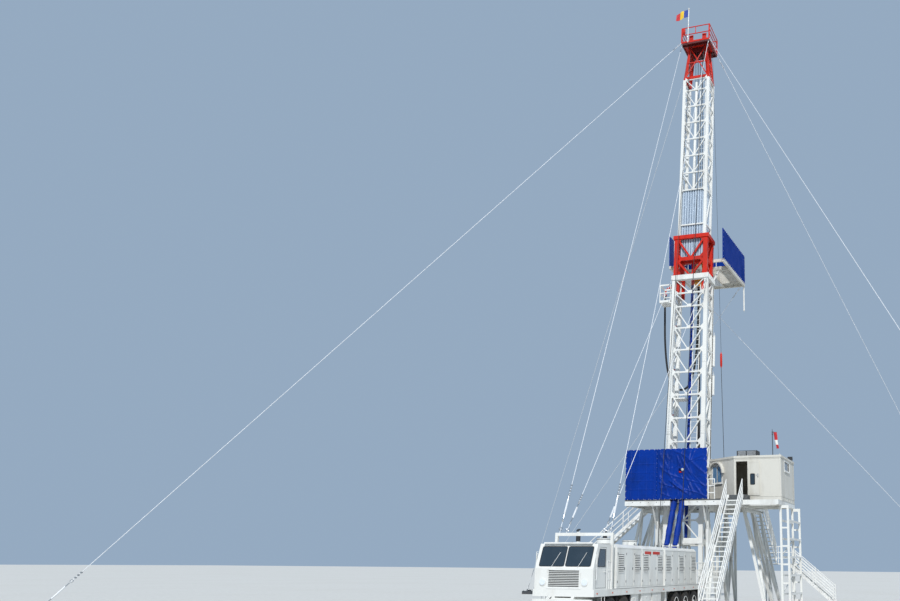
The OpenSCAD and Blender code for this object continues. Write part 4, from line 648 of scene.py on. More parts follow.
SIDES = (-1, 1)
low_rings = [1.0, 1.95] + [5.24 + 1.33 * i for i in range(-2, 7)] + [14.065]
up_rings = [20.93 + 1.21 * i for i in range(7)] + [29.04]
corner = Shape()
for k in SIDES:
    for rings, u_back, leg, v_side, front, size in (
            (low_rings, 0.03, 0.89, 1.074, 1.13, 0.22), (up_rings, 0.115, 0.73, 0.865, 1.19, 0.16)):
        for s in rings:
            for up in (size, -size):
                corner.plate([(k * leg, s), (k * (leg - size), s), (k * leg, s + up)], 0.012,
                             on_back(u_back))
                corner.plate([(u_back + 0.17, s), (u_back + 0.17 + size, s),
                              (u_back + 0.17, s + up)], 0.012, on_side(k * v_side))
                corner.plate([(front, s), (front - size, s), (front, s + up)], 0.012,
                             on_side(k * v_side))
for s in low_rings[1:] + up_rings[:-1]:
    u = 0.03 if s < 15 else 0.115
    corner.plate([(-0.17, s - 0.05), (0.17, s - 0.05), (0.08, s + 0.13), (-0.08, s + 0.13)],
                 0.012, on_back(u))
# Leg splices, bolted: a cover plate on each face of the legs
for s in (5.9, 10.0):
    for k in SIDES:
        corner.plate([(k * 0.89, s - 0.25), (k * 1.09, s - 0.25), (k * 1.09, s + 0.25),
                      (k * 0.89, s + 0.25)], 0.015, on_back(0.0))
        corner.bolts([mast(-0.022, k * v, s + b) for v in (0.93, 1.05)
                      for b in (-0.18, -0.06, 0.06, 0.18)], U, 0.016, 0.02)
# Stiffeners of the head beam and the feet of the upper legs
for v in np.linspace(-1.05, 1.05, 9):
    mast_box(corner, (-0.052, -0.04), (v - 0.008, v + 0.008), (14.92, 15.20))
for u in np.linspace(0.35, 1.2, 5):
    for k in SIDES:
        corner.box((u - 0.008, k * 1.149, 14.92), (u + 0.008, k * 1.162, 15.20), mast)
for u in (0.185, 1.259):
    for k in SIDES:
        v = k * 0.795
        mast_box(corner, (u - 0.14, u + 0.14), (v - 0.14, v + 0.14), (17.80, 17.825))
        corner.bolts([mast(u + a, v + b, 17.835) for a, b in square(0.11)], S, 0.02, 0.028)
corner.make("mast_gussets", "white_paint")

# Cladding of the upper mast: a corrugated sheet, galvanised and riveted on, with painted shade
# in its valleys
# Steel dipped in zinc: bluish grey, with faint spangle
M["galvanised"] = surface("galvanised_sheet", "C2CEDA", "9CA8B4", amount=0.5, size=5.0,
                          rough=0.32, metal=0.3, bump=0.05, grain=25.0)
# Painted shade: a darker blue-grey for thin strips laid in the valley bottoms of the corrugation
M["valley"] = surface("sheet_valley_painted_shade", "66788C", "5A6672", amount=0.5, size=5.0, rough=0.6)
paint("galvanised", "mast_cladding")
valley = Shape()
for i in range(10):
    v = 0.7097 - i * 1.4194 / 9
    mast_box(valley, (0.2160, 0.2168), (max(v - 0.022, -0.709), min(v + 0.022, 0.709)),
             (16.40, 20.92))
valley.make("cladding_valley_shade", "valley")

# Ladders inside the mast: flat side rails with round rungs, welded, on brackets at the rings
ladder = Shape()
for v0, v1, u, s0, s1, rings in ((-0.62, -0.24, 0.17, 2.0, 14.6, low_rings),
                                 (-0.62, -0.28, 0.23, 20.95, 29.0, up_rings)):
    for v in (v0, v1):
        ladder.bar(mast(u, v, s0), mast(u, v, s1), 0.012, 0.05, up=V)
        for s in rings:
            ladder.bar(mast(u, v, s), mast(u - 0.06, v, s), 0.03, 0.01)
    for s in np.arange(s0 + 0.15, s1, 0.3):
        ladder.tube([mast(u, v0, s), mast(u, v1, s)], 0.011, 6)
ladder.make("mast_ladders", "white_rail")

# Hydraulic lines: two rubber-covered pipes, clamped to the right leg, and the unions of the
# cylinders that they feed
LINE_V, CYL_U, CYL_V = -1.121, 1.25, -1.189
CYLINDERS = ((9.8, 11.7), (8.1, 9.3))
lines = Shape()
for u, top in ((1.150, 14.8), (1.185, 9.85)):
    lines.tube([mast(u, LINE_V, 1.2), mast(u, LINE_V, top)], 0.011)
for s0, s1 in CYLINDERS:
    lines.tube([mast(1.185, LINE_V, s0 - 0.05), mast(1.20, -1.15, s0 + 0.02),
                mast(1.21, -1.17, s0 + 0.12)], 0.011)
lines.make("hydraulic_lines", "rubber", smooth=True)
clamp = Shape()
for s in np.arange(1.6, 14.7, 0.9):
    mast_box(clamp, (1.13, 1.205), (-1.138, -1.104), (s, s + 0.04))
    clamp.bolts([mast(1.1675, -1.142, s + 0.02)], V, 0.008, 0.012)
for s0, s1 in CYLINDERS:
    for s in (s0 + 0.02, s1 - 0.02):
        clamp.disc(mast(CYL_U, CYL_V, s), S, 0.086, 0.05, 24)
    clamp.disc(mast(CYL_U, CYL_V, s1 + 0.07), S, 0.03, 0.14, 16)
    clamp.ring(mast(CYL_U, CYL_V, s1 + 0.17), V, 0.035, 0.014, 20)
clamp.make("hydraulic_clamps", "pale_grey")

# Red collar: welded steel between the sections. Flange plates are bolted under its columns,
# and pins with keeper plates lock the upper section
paint("red_paint", "mast_collar")
flange = Shape()
for u in (0.13, 1.214):
    for k in SIDES:
        v = k * 0.90
        mast_box(flange, (u - 0.16, u + 0.16), (v - 0.16, v + 0.16), (15.21, 15.24))
        flange.bolts([mast(u + a, v + b, 15.252) for a in (-0.145, 0, 0.145)
                      for b in (-0.145, 0.145)], S, 0.018, 0.024)
        for s in (15.50, 17.30):
            flange.disc(mast(u, k * 1.045, s), V, 0.055, 0.05, 24)
            flange.box((u - 0.10, k * 1.03, s - 0.10), (u + 0.10, k * 1.038, s + 0.10), mast)
            flange.bolts([mast(u + a, k * 1.044, s + b) for a, b in square(0.08)], V,
                         0.010, 0.014)
for v in np.linspace(-0.95, 0.95, 8):
    mast_box(flange, (-0.058, -0.045), (v - 0.008, v + 0.008), (17.57, 17.79))
for k in SIDES:
    for s in (16.15, 16.37, 17.56):
        for up in (-0.22, 0.22):
            if 15.3 < s + up < 17.7:
                flange.plate([(k * 0.78, s), (k * 0.56, s), (k * 0.78, s + up)], 0.014,
                             on_back(0.02))
flange.make("collar_flanges", "red_paint")

# Standpipe: red steel pipe in flanged lengths, clipped to the mast's left leg, with a gate
# valve at its foot and swaged steel ferrules on the hose's ends
paint("red_paint", "standpipe")
PIPE_U, PIPE_V, VALVE_S = 1.15, 1.25, 3.3


def circle(n, r, start=0.0):
    """n places round a circle, as pairs."""
    w = start + np.arange(n) * 2 * np.pi / n
    return np.stack([r * np.cos(w), r * np.sin(w)], -1)


pipe = Shape()
for s in (5.6, 8.3, 11.0, 13.7):
    for d in (-0.019, 0.019):
        pipe.disc(mast(PIPE_U, PIPE_V, s + d), S, 0.115, 0.03, 28)
    for a, b in circle(8, 0.093):
        pipe.disc(mast(PIPE_U + a, PIPE_V + b, s), S, 0.011, 0.11, 6)
for a, b in circle(6, 0.085):
    pipe.disc(mast(PIPE_U + a, 1.91 + b, 14.475), S, 0.012, 0.12, 6)
pipe.disc(mast(PIPE_U, PIPE_V, VALVE_S), S, 0.12, 0.34, 28)
pipe.disc(mast(PIPE_U, 1.36, VALVE_S), V, 0.075, 0.20, 24)
pipe.make("standpipe_flanges", "red_paint")
clips = Shape()
for s in (4.335, 7.035, 9.735, 12.435):
    clips.ring(mast(PIPE_U, PIPE_V, s), S, 0.072, 0.008, 28)
clips.ring(mast(PIPE_U, 1.50, VALVE_S), V, 0.11, 0.012, 32)
for a, b in circle(4, 0.11):
    clips.tube([mast(PIPE_U, 1.50, VALVE_S), mast(PIPE_U + a, 1.50, VALVE_S + b)], 0.007)
clips.tube([mast(PIPE_U, 1.42, VALVE_S), mast(PIPE_U, 1.51, VALVE_S)], 0.014)
clips.make("standpipe_clips", "dark_steel", smooth=True)
ferrule = Shape()
ferrule.tube([route[0], route[0] - 0.30 * S, route[0] - 0.34 * S], [0.070, 0.070, 0.062], 24)
ferrule.tube([route[-1], route[-1] - (0, 0, 0.30), route[-1] - (0, 0, 0.34)],
             [0.070, 0.070, 0.062], 24)
for p, d in ((route[0], S), (route[-1], np.array([0, 0, 1.0]))):
    for step in (0.06, 0.13, 0.20):
        ferrule.ring(p - step * d, d, 0.071, 0.006, 28)
ferrule.make("hose_ferrules", "dark_steel", smooth=True)

# White cage on the mast's left side: flat bars for a floor, welded between two toe strips
cage = Shape()
for u in np.arange(0.08, 0.80, 0.06):
    cage.bar(mast(u, 1.16, 13.585), mast(u, 1.84, 13.585), 0.008, 0.03)
for v in (1.157, 1.851):
    mast_box(cage, (0.0, 0.81), (v - 0.003, v + 0.003), (13.56, 13.70))
cage.make("cage_floor", "white_rail")

# Crown: a red welded deck with two grooved sheaves in plain bearings. The drilling lines run
# over them under guards of strip, and a thin line to the hoist hangs beside the mast
# Primer and oil on cast steel: a dark, dull red. Under the crown deck the same red is painted shade
M["dark_red"] = surface("dark_red_paint", "5A1210", "25100E", amount=0.5, rough=0.45)
# Steel wire, laid and greased: dark grey, with the strands as bumps
M["wire_rope"] = surface("steel_wire_rope", "3C3D3F", "6A665E", amount=0.5, size=4.0, metal=0.6,
                         bump=0.6, grain=120.0)
paint("dark_red", "crown_block crown_sheaves")
paint("red_paint", "mast_top_frame crown_platform")
paint("wire_rope", "drilling_lines")
SHEAVE_U, SHEAVE_V, SHEAVE_S = 0.627, 0.45, 32.03


def on_sheave(r, c, h, v):
    """A place r from the sheaves' axle in the direction c, h, and v across."""
    return mast(SHEAVE_U + r * c, v, SHEAVE_S + r * h)


# Painted shade under the crown deck: plates and ribs in the dark red below it, while the deck's
# edge stays bright red
under = Shape()
for u in ((-0.315, 0.06), (1.10, 1.57)):
    mast_box(under, u, (-0.97, 0.97), (31.625, 31.64))
for u in (-0.28, -0.02, 1.14, 1.53):
    mast_box(under, (u - 0.03, u + 0.03), (-0.96, 0.96), (31.53, 31.63))
for v in (-0.92, -0.62, 0.62, 0.92):
    mast_box(under, (-0.31, 1.56), (v - 0.025, v + 0.025), (31.55, 31.63))
under.make("crown_deck_ribs_painted_shade", "dark_red")
crown = Shape()
for k in SIDES:
    for v in (0.36, 0.54):
        crown.disc(mast(SHEAVE_U, k * v, SHEAVE_S), V, 0.085, 0.055, 28)
        crown.bolts([mast(SHEAVE_U + a, k * v, 31.775) for a in (-0.15, 0.15)], S, 0.016, 0.03)
        mast_box(crown, (0.46, 0.794), (k * v - 0.035, k * v + 0.035), (31.76, 31.772))
    # Rope guard over each sheave, on two straps
    arc = [on_sheave(0.435, math.cos(w), math.sin(w), k * SHEAVE_V)
           for w in np.linspace(0.35, math.pi - 0.35, 17)]
    for p, q in zip(arc[:-1], arc[1:]):
        crown.bar(p, q, 0.115, 0.008, up=np.cross(q - p, V))
    for w in (0.4, math.pi / 2, math.pi - 0.4):
        for v in (0.395, 0.505):
            c, h = math.cos(w), math.sin(w)
            crown.bar(on_sheave(0.10, c, h, k * v), on_sheave(0.43, c, h, k * v), 0.006, 0.03)
# Short post and lamp box on the rear rail, upright rope guides beside the sheaves
mast_box(crown, (-0.32, -0.28), (-0.02, 0.02), (32.33, 32.83))
mast_box(crown, (-0.321, -0.13), (0.74, 0.978), (32.56, 32.85))
mast_box(crown, (-0.30, -0.15), (0.76, 0.96), (32.46, 32.555))
for k in SIDES:
    for v in (0.33, 0.57):
        mast_box(crown, (0.18, 0.24), (k * v - 0.02, k * v + 0.02), (31.762, 32.50))
    mast_box(crown, (0.17, 0.25), (k * SHEAVE_V - 0.14, k * SHEAVE_V + 0.14), (32.50, 32.56))
    mast_box(crown, (0.19, 0.23), (k * SHEAVE_V - 0.10, k * SHEAVE_V + 0.10), (31.90, 32.46))
crown.make("crown_fittings", "red_paint")
spokes = Shape()
for k in SIDES:
    for v in (0.4025, 0.4975):
        spokes.disc(mast(SHEAVE_U, k * v, SHEAVE_S), V, 0.11, 0.006, 28)
        for a, b in circle(6, 1.0):
            spokes.bar(on_sheave(0.10, a, b, k * v), on_sheave(0.31, a, b, k * v), 0.006, 0.03)
spokes.make("crown_sheave_ribs", "dark_red", "crown_sheave_pair")
ropes = Shape()
for k in SIDES:
    arc = []
    for w in np.linspace(math.pi, 0, 25):
        r = 0.402 - 0.062 * min(1.0, (math.pi - w) / 0.9)
        arc.append(on_sheave(r, math.cos(w), math.sin(w), k * SHEAVE_V))
    ropes.tube(arc + [mast(0.967, k * SHEAVE_V, 31.2), mast(0.90, k * 0.40, 30.95)], 0.015, 8)
# Hoist line beside the mast: thin rope, red ball weight, then the hose of the hoist
ropes.tube([mast(0.30, -0.99, 31.6), (0.0, -1.37, 14.35)], 0.009, 6)
ropes.tube([(0.0, -1.37, 13.4), (0.1, -1.44, 9.5), (0.2, -1.5, 5.7)], 0.016, 8)
ropes.make("crown_ropes", "wire_rope", smooth=True)
weight = Shape()
weight.tube([(0, -1.37, 14.37), (0, -1.37, 14.30), (0, -1.37, 14.22), (0, -1.37, 13.55),
             (0, -1.37, 13.46), (0, -1.37, 13.38)], [0.012, 0.03, 0.065, 0.065, 0.03, 0.012], 20)
weight.make("hoist_weight", "red_paint", smooth=True)

# Pipe board: a cream welded frame with fingers for the pipes, on two pinned struts. Orange
# latches close the fingers, and ribs stiffen the plates underneath
# Enamel, sprayed on thin: warm white with dust in streaks
M["cream_paint"] = surface("cream_paint", "CFCCC2", "8E8470", size=0.9, stretch=(1, 1, 0.3),
                           rough=0.45, bump=0.05)
M["orange_paint"] = surface("orange_paint", "D2551A", "6B3216", rough=0.45)
paint("cream_paint", "board_frame board_fingers")
paint("white_paint", "board_struts")
latch, step = Shape(), (5.05 - 0.984 - 1.51) / 12
for x in [0.96, 1.17] + [1.51 + i * step for i in range(13)]:
    for y0, y1 in ((-1.50, -0.33), (1.06, 0.33)):
        latch.bolts([(x + 0.03, y0 + math.copysign(0.03, y1 - y0) * i, 20.085)
                     for i in (1, 4)], Z, 0.012, 0.02)
        latch.box((x + 0.005, y1 - math.copysign(0.12, y1 - y0), 20.075),
                  (x + 0.055, y1, 20.095))
        latch.tube([(x + 0.03, y1 - math.copysign(0.09, y1 - y0), 20.10),
                    (x + 0.19, y1 - math.copysign(0.09, y1 - y0), 20.10)], 0.010, 6)
latch.make("finger_latches", "orange_paint")
ribs = Shape()
for x in np.arange(0.3, 4.9, 0.46):
    ribs.box((x, 1.20, 19.97), (x + 0.05, 1.875, 20.055))
for x in np.arange(4.40, 4.9, 0.14):
    ribs.box((x, -1.52, 20.06), (x + 0.03, 1.08, 20.098))
for y in np.arange(-1.5, 1.0, 0.5):
    ribs.box((-0.25, y, 19.945), (-0.12, y + 0.012, 20.13))
ribs.make("board_ribs", "cream_paint")
# Grey plates set into the underside of the board, in its frame: painted shade, darker and greyer
# than the cream above
underside_shade = Shape()
for x in np.arange(0.36, 4.7, 0.46):
    underside_shade.box((x, 1.22, 19.975), (x + 0.39, 1.86, 19.99))
underside_shade.box((4.42, -1.50, 20.09), (4.86, 1.06, 20.098))
for y0, y1 in ((-0.275, -0.005), (0.005, 0.275)):
    for x in np.arange(0.95, 4.2, 0.72):
        underside_shade.box((x, y0, 19.998), (x + 0.70, y1, 20.008))
underside_shade.make("board_underside_painted_shade", "pale_grey")
lugs = Shape()
for k in SIDES:
    foot, head = mast(1.30, k * 1.01, 15.10), np.array([1.44, k * 0.905, 19.93])
    for p in (foot, head):
        for near, far in ((0.075, -0.055), (-0.055, 0.075)):
            lugs.box(p - (0.10, near, 0.10), p + (0.10, far, 0.10))
        lugs.disc(p, Y, 0.032, 0.20, 20)
lugs.tube([(4.99, -1.57, 18.352), (4.99, -1.57, 18.30)], 0.062, 24)
lugs.ring((4.99, -1.57, 18.25), Y, 0.045, 0.012, 24)
lugs.make("strut_lugs", "white_paint")

# Travelling block and swivel: yellow cast steel cheeks, bolted through, and a swivel with a
# gland and a bent pipe to the hose
# Enamel on castings: deep yellow with oily dirt
M["yellow_paint"] = surface("yellow_paint", "E09A12", "6E4A14", amount=0.5, size=2.5, rough=0.4,
                            bump=0.08, coat=0.2)
paint("yellow_paint", "travelling_block swivel")
block = Shape()
for y in (-0.338, 0.338):
    block.bolts([(x, y, z) for x, z in ((-0.28, 21.02), (0.28, 21.02), (-0.22, 20.80),
                 (0.22, 20.80), (-0.28, 21.78), (0.28, 21.78), (-0.17, 22.0), (0.17, 22.0))],
                Y, 0.024, 0.028)
    block.disc((0, y, 21.45), Y, 0.12, 0.03, 28)
for x in (-0.326, 0.326):
    for z0, z1 in ((21.02, 21.22), (21.66, 21.79)):
        block.slab(x, 0, z0, z1, 0.008, 0.29)
block.slab(0, 0, 22.03, 22.046, 0.2, 0.29)
block.box((0.10, -0.05, 20.15), (0.125, 0.05, 20.36))
block.make("travelling_block_fittings", "yellow_paint")
gland = Shape()
for z, r, t in ((19.32, 0.135, 0.08), (19.23, 0.19, 0.02), (18.77, 0.335, 0.03)):
    gland.disc((0, 0, z), Z, r, t, 32)
gland.bolts([(a, b, 18.955) for a, b in circle(10, 0.30, 0.2)], Z, 0.018, 0.34)
gland.make("swivel_gland", "dark_steel")
OUT_X, OUT_Y = 0.4, 0.16
w = np.linspace(0, math.pi, 25)
head = np.array([OUT_X, OUT_Y, 0]) / math.hypot(OUT_X, OUT_Y)
reach = math.hypot(OUT_X, OUT_Y) / 2
neck = [np.array([0, 0, 19.38])] + [head * reach * (1 - math.cos(t))
        + (0, 0, 19.45 + reach * math.sin(t)) for t in w]
Shape().tube(neck + [head * 2 * reach + (0, 0, 18.91)], 0.059, 24).disc(
    head * 2 * reach + (0, 0, 18.93), Z, 0.10, 0.05, 24).make(
    "swivel_gooseneck_cover", "white_paint", smooth=True)

# Kelly, bushing and rotary table: a square bar driven by rollers in a cast housing, which
# four pins lock to the table. The subs below it are turned steel rings
# Cast steel left bare: brown rust, rough
M["rust"] = surface("rusty_cast_steel", "5B3421", "2C1B14", amount=0.6, size=4.0, rough=0.75,
                    metal=0.3, bump=0.5)
# Turned and worn steel: bright, with clear reflections
M["bright_steel"] = surface("bright_machined_steel", "C9CBCD", "8A8A88", size=4.0, rough=0.25,
                            metal=1.0, bump=0.04)
paint("rust", "kelly_bushing")
paint("black_paint", "kelly")
paint("dark_steel", "rotary_table")
drive = Shape()
for a, b in circle(4, 1.0, math.pi / 4):
    c = np.array([a, b, 0])
    side = np.array([-b, a, 0])
    drive.bar(c * 0.17 + (0, 0, 7.50), c * 0.27 + (0, 0, 7.50), 0.20, 0.10)
    drive.disc(c * 0.22 + (0, 0, 7.52), side, 0.05, 0.24, 20)
drive.bolts([(a, b, 7.405) for a, b in circle(12, 0.30)], Z, 0.017, 0.03)
for z in (7.16, 7.34):
    drive.ring((0, 0, z), Z, 0.331, 0.012, 40)
drive.make("kelly_bushing_fittings", "rust", "kelly_string")
Shape().disc((0, 0, 7.085), Z, 0.345, 0.03, 40).make("bushing_pin_plate", "orange_paint",
                                                    "kelly_string")
pins = Shape()
for a, b in circle(4, 0.25):
    pins.tube([(a, b, 7.07), (a, b, 6.93), (a, b, 6.90)], [0.036, 0.036, 0.024], 16)
for z, r in ((6.75, 0.102), (6.35, 0.102), (6.30, 0.108), (5.95, 0.102), (18.43, 0.108)):
    pins.disc((0, 0, z), Z, r, 0.03, 28)
pins.make("kelly_subs", "bright_steel", "kelly_string")
table = Shape()
table.bolts([(a, b, 5.662) for a, b in circle(16, 0.50)], Z, 0.022, 0.03)
for r, z in ((0.545, 5.65), (0.375, 5.69), (0.29, 5.69), (0.20, 5.69)):
    table.ring((0, 0, z), Z, r, 0.010, 48)
for a, b in circle(4, 0.245, math.pi / 4):
    table.disc((a, b, 5.692), Z, 0.035, 0.008, 20)
table.make("rotary_table_fittings", "bright_steel")


# Doghouse: a cabin of folded and welded sheet on a ribbed base. Posts, rails and seams are
# strips on its faces, its windows sit in round rubber seals, and it is lifted by roof eyes
# Float glass: nearly smooth; one pane has a painted reflection of the sky, and the others painted
# shade of a dark room
M["sky_glass"] = surface("window_glass_painted_sky", "5F86A8", "7C9AB4", amount=0.3, size=1.5,
                         rough=0.1, bump=0.01, coat=0.8)
M["window"] = surface("window_glass_painted_dark_room", "1E2D38", "3A4650", amount=0.3, size=1.5, rough=0.08,
                      bump=0.01, coat=1.0)
paint("cream_paint", "doghouse_walls doghouse_door doghouse_base doghouse_roof")
paint("white_paint", "doghouse_tower window_frames")
paint("window", "window_glass")
DOG_BACK = upright(-3.1, across=RIGHTWARD)
DOG_END = upright(y=-5.4)
DOG_FRONT = upright(0.4, across=Y)
DOG_SIDE = upright(y=-1.2, across=BACKWARD)
DOG_CUT = upright(-1.8, -1.2, across=(-0.60746, -0.79435, 0))


def strip(shape, place, a0, a1, b0, b1, t=0.012):
    """A flat strip on a face, t proud of it."""
    return shape.plate([(a0, b0), (a1, b0), (a1, b1), (a0, b1)], t, place)


def frame_strip(shape, place, a0, a1, b0, b1, w=0.05, t=0.012):
    """Four strips round an opening, outside its edge."""
    strip(shape, place, a0 - w, a0, b0 - w, b1 + w, t)
    strip(shape, place, a1, a1 + w, b0 - w, b1 + w, t)
    strip(shape, place, a0, a1, b0 - w, b0, t)
    strip(shape, place, a0, a1, b1, b1 + w, t)


def strips(shape, place, starts, width, b0, b1, t):
    """Upright strips of one width, from each start across."""
    for a in starts:
        strip(shape, place, a, a + width, b0, b1, t)


def round_seal(shape, place, a0, a1, b0, b1, c=0.012, r=0.014, corner=0.06):
    """A round rubber seal along a rectangle with rounded corners."""
    w = np.linspace(0, math.pi / 2, 7)
    path = []
    for i, (a, b) in enumerate(((a1 - corner, b1 - corner), (a0 + corner, b1 - corner),
                                (a0 + corner, b0 + corner), (a1 - corner, b0 + corner))):
        path += [place(a + corner * math.cos(t + i * math.pi / 2),
                       b + corner * math.sin(t + i * math.pi / 2), c) for t in w]
    shape.tube(path + [path[0]], r)


trim = Shape()
for place, a0, a1 in ((DOG_BACK, 2.9, 5.4), (DOG_END, -3.1, 0.4), (DOG_FRONT, -5.4, -1.2),
                      (DOG_SIDE, -0.4, 1.8), (DOG_CUT, 0.0, 2.14)):
    strips(trim, place, (a0, a1 - 0.07), 0.07, 5.80, 7.76, 0.012)
    for b0, b1, t in ((7.70, 7.76, 0.016), (5.545, 5.60, 0.014), (5.745, 5.80, 0.014)):
        strip(trim, place, a0, a1, b0, b1, t)
    strips(trim, place, np.arange(a0 + 0.3, a1 - 0.1, 0.6), 0.04, 5.60, 5.745, 0.010)
strips(trim, DOG_BACK, (4.27, 4.86), 0.025, 5.82, 7.70, 0.004)
for a in np.arange(-2.5, 0.3, 0.6):
    strip(trim, DOG_END, a, a + 0.025, 5.82, 7.06, 0.004)
    strip(trim, DOG_SIDE, -a - 0.6, -a - 0.575, 5.82, 7.70, 0.004)
strips(trim, DOG_FRONT, np.arange(-4.8, -1.3, 0.6), 0.025, 5.82, 7.70, 0.004)
frame_strip(trim, DOG_BACK, 3.0, 3.62, 5.80, 7.585, 0.044, 0.005)
for x, y in ((-3.05, -5.35), (0.35, -5.35), (0.35, -1.25), (-1.75, -1.25)):
    trim.slab(x, y, 7.87, 7.885, 0.05, 0.05)
    trim.ring((x, y, 7.905), Y, 0.032, 0.009, 20)
for y in np.arange(-5.2, -1.3, 0.52):
    trim.box((-3.12 if y < -2.9 else -1.7, y - 0.02, 7.87), (0.42, y + 0.02, 7.882))
trim.make("doghouse_trim", "cream_paint", bevel=0.003)
seal = Shape()
for a0, b0, a1, b1 in ((3.008, 5.81, 3.008, 7.575), (3.612, 5.81, 3.612, 7.575),
                       (3.008, 7.578, 3.612, 7.578)):
    seal.tube([DOG_BACK(a0, b0, 0.001), DOG_BACK(a1, b1, 0.001)], 0.004, 6)
round_seal(seal, DOG_CUT, 0.262, 1.017, 6.595, 7.455, -0.02, 0.016)
round_seal(seal, DOG_END, -2.105, -0.895, 7.195, 7.605, -0.02, 0.014, 0.05)
seal.make("doghouse_seals", "rubber", smooth=True)
white = Shape()
frame_strip(white, DOG_CUT, 0.217, 1.062, 6.55, 7.50, 0.045, 0.020)
strip(white, DOG_CUT, 0.62, 0.66, 6.58, 7.47, 0.010)
strip(white, DOG_CUT, 0.15, 1.13, 6.49, 6.51, 0.07)
frame_strip(white, DOG_END, -2.15, -0.85, 7.15, 7.65, 0.045, 0.016)
strips(white, DOG_END, (-1.73, -1.30), 0.03, 7.18, 7.62, 0.006)
strip(white, DOG_END, -2.2, -0.8, 7.085, 7.105, 0.05)
for y0, y1 in FRONT_WINDOWS:
    frame_strip(white, FRONT, y0, y1, *WINDOW_Z, 0.035)
    strip(white, FRONT, (y0 + y1) / 2 - 0.015, (y0 + y1) / 2 + 0.015, 6.86, 7.45, 0.008)
white.make("window_trims", "white_rail", bevel=0.003)
gasket = Shape()
for y0, y1 in FRONT_WINDOWS:
    round_seal(gasket, FRONT, y0 + 0.05, y1 - 0.05, 6.88, 7.43, 0.008, 0.015, 0.08)
gasket.make("window_gaskets", "rubber", smooth=True)
# Panes of the oblique wall's window, coloured with the painted reflection of the sky
strip(Shape(), DOG_CUT, 0.27, 0.62, 6.60, 7.45, 0.006).plate(
    [(0.66, 6.60), (1.01, 6.60), (1.01, 7.45), (0.66, 7.45)], 0.006,
    lambda a, b, c: DOG_CUT(a, b, c - 0.03)).make("doghouse_window_glass", "sky_glass")

# Doghouse door: a pressed leaf with a window in a rubber seal, strips round its face, a kick
# plate and a steel lever handle
DOOR, DOOR_BODY = upright(-3.147, across=RIGHTWARD), "doghouse_door_leaf"
leaf = Shape()
frame_strip(leaf, DOOR, 3.735, 4.217, 5.88, 7.50, 0.035, 0.006)
strip(leaf, DOOR, 3.75, 4.20, 5.90, 6.08, 0.004)
leaf.make("doghouse_door_trim", "cream_paint", DOOR_BODY)
seal = Shape()
round_seal(seal, DOOR, 3.784, 4.020, 6.367, 6.923, 0.002, 0.014)
seal.make("doghouse_door_seal", "rubber", DOOR_BODY, smooth=True)
strip(Shape(), lambda a, b, c: DOOR(a, b, c - 0.022), 3.780, 4.024, 6.363, 6.927, 0.005).make(
    "doghouse_door_glass", "window", DOOR_BODY)
handle = Shape()
strip(handle, DOOR, 4.17, 4.21, 6.72, 6.92, 0.008)
handle.tube([DOOR(4.19, 6.85, 0.006), DOOR(4.19, 6.85, 0.045), DOOR(4.08, 6.85, 0.045)], 0.009)
handle.disc(DOOR(4.19, 6.76, 0.01), X, 0.013, 0.012, 16)
handle.make("doghouse_door_handle", "bright_steel", DOOR_BODY, smooth=True)

# Roof unit: a case of dark sheet with louvres on its long side and the fan's guard of bent
# wire on its top
# Dark sheet of the roof unit, fans and exhausts; on the housings the same dark is painted shade
# between the louvre blades
M["grille"] = surface("dark_grille_and_louvre_shade", "23262A", "4A4640", rough=0.6, bump=0.2)
paint("grille", "roof_unit")
FAN_X, FAN_Y = -2.55, -3.5
unit = Shape()
for b in np.arange(7.92, 8.13, 0.035):
    for a0, a1 in ((3.06, 3.5), (3.56, 4.04)):
        unit.plate([(0.0, b), (0.022, b - 0.012), (0.022, b - 0.006), (0.0, b + 0.006)], a1 - a0,
                   lambda p, q, c, s=a0: np.array([-2.9 - p, -s - c, q]))
unit.ring((FAN_X, FAN_Y, 8.175), Z, 0.24, 0.008, 40)
for r in (0.08, 0.16):
    unit.ring((FAN_X, FAN_Y, 8.178), Z, r, 0.005, 32)
for a, b in circle(8, 0.24):
    unit.tube([(FAN_X, FAN_Y, 8.176), (FAN_X + a, FAN_Y + b, 8.176)], 0.005, 6)
unit.make("roof_unit_louvres", "pale_grey")

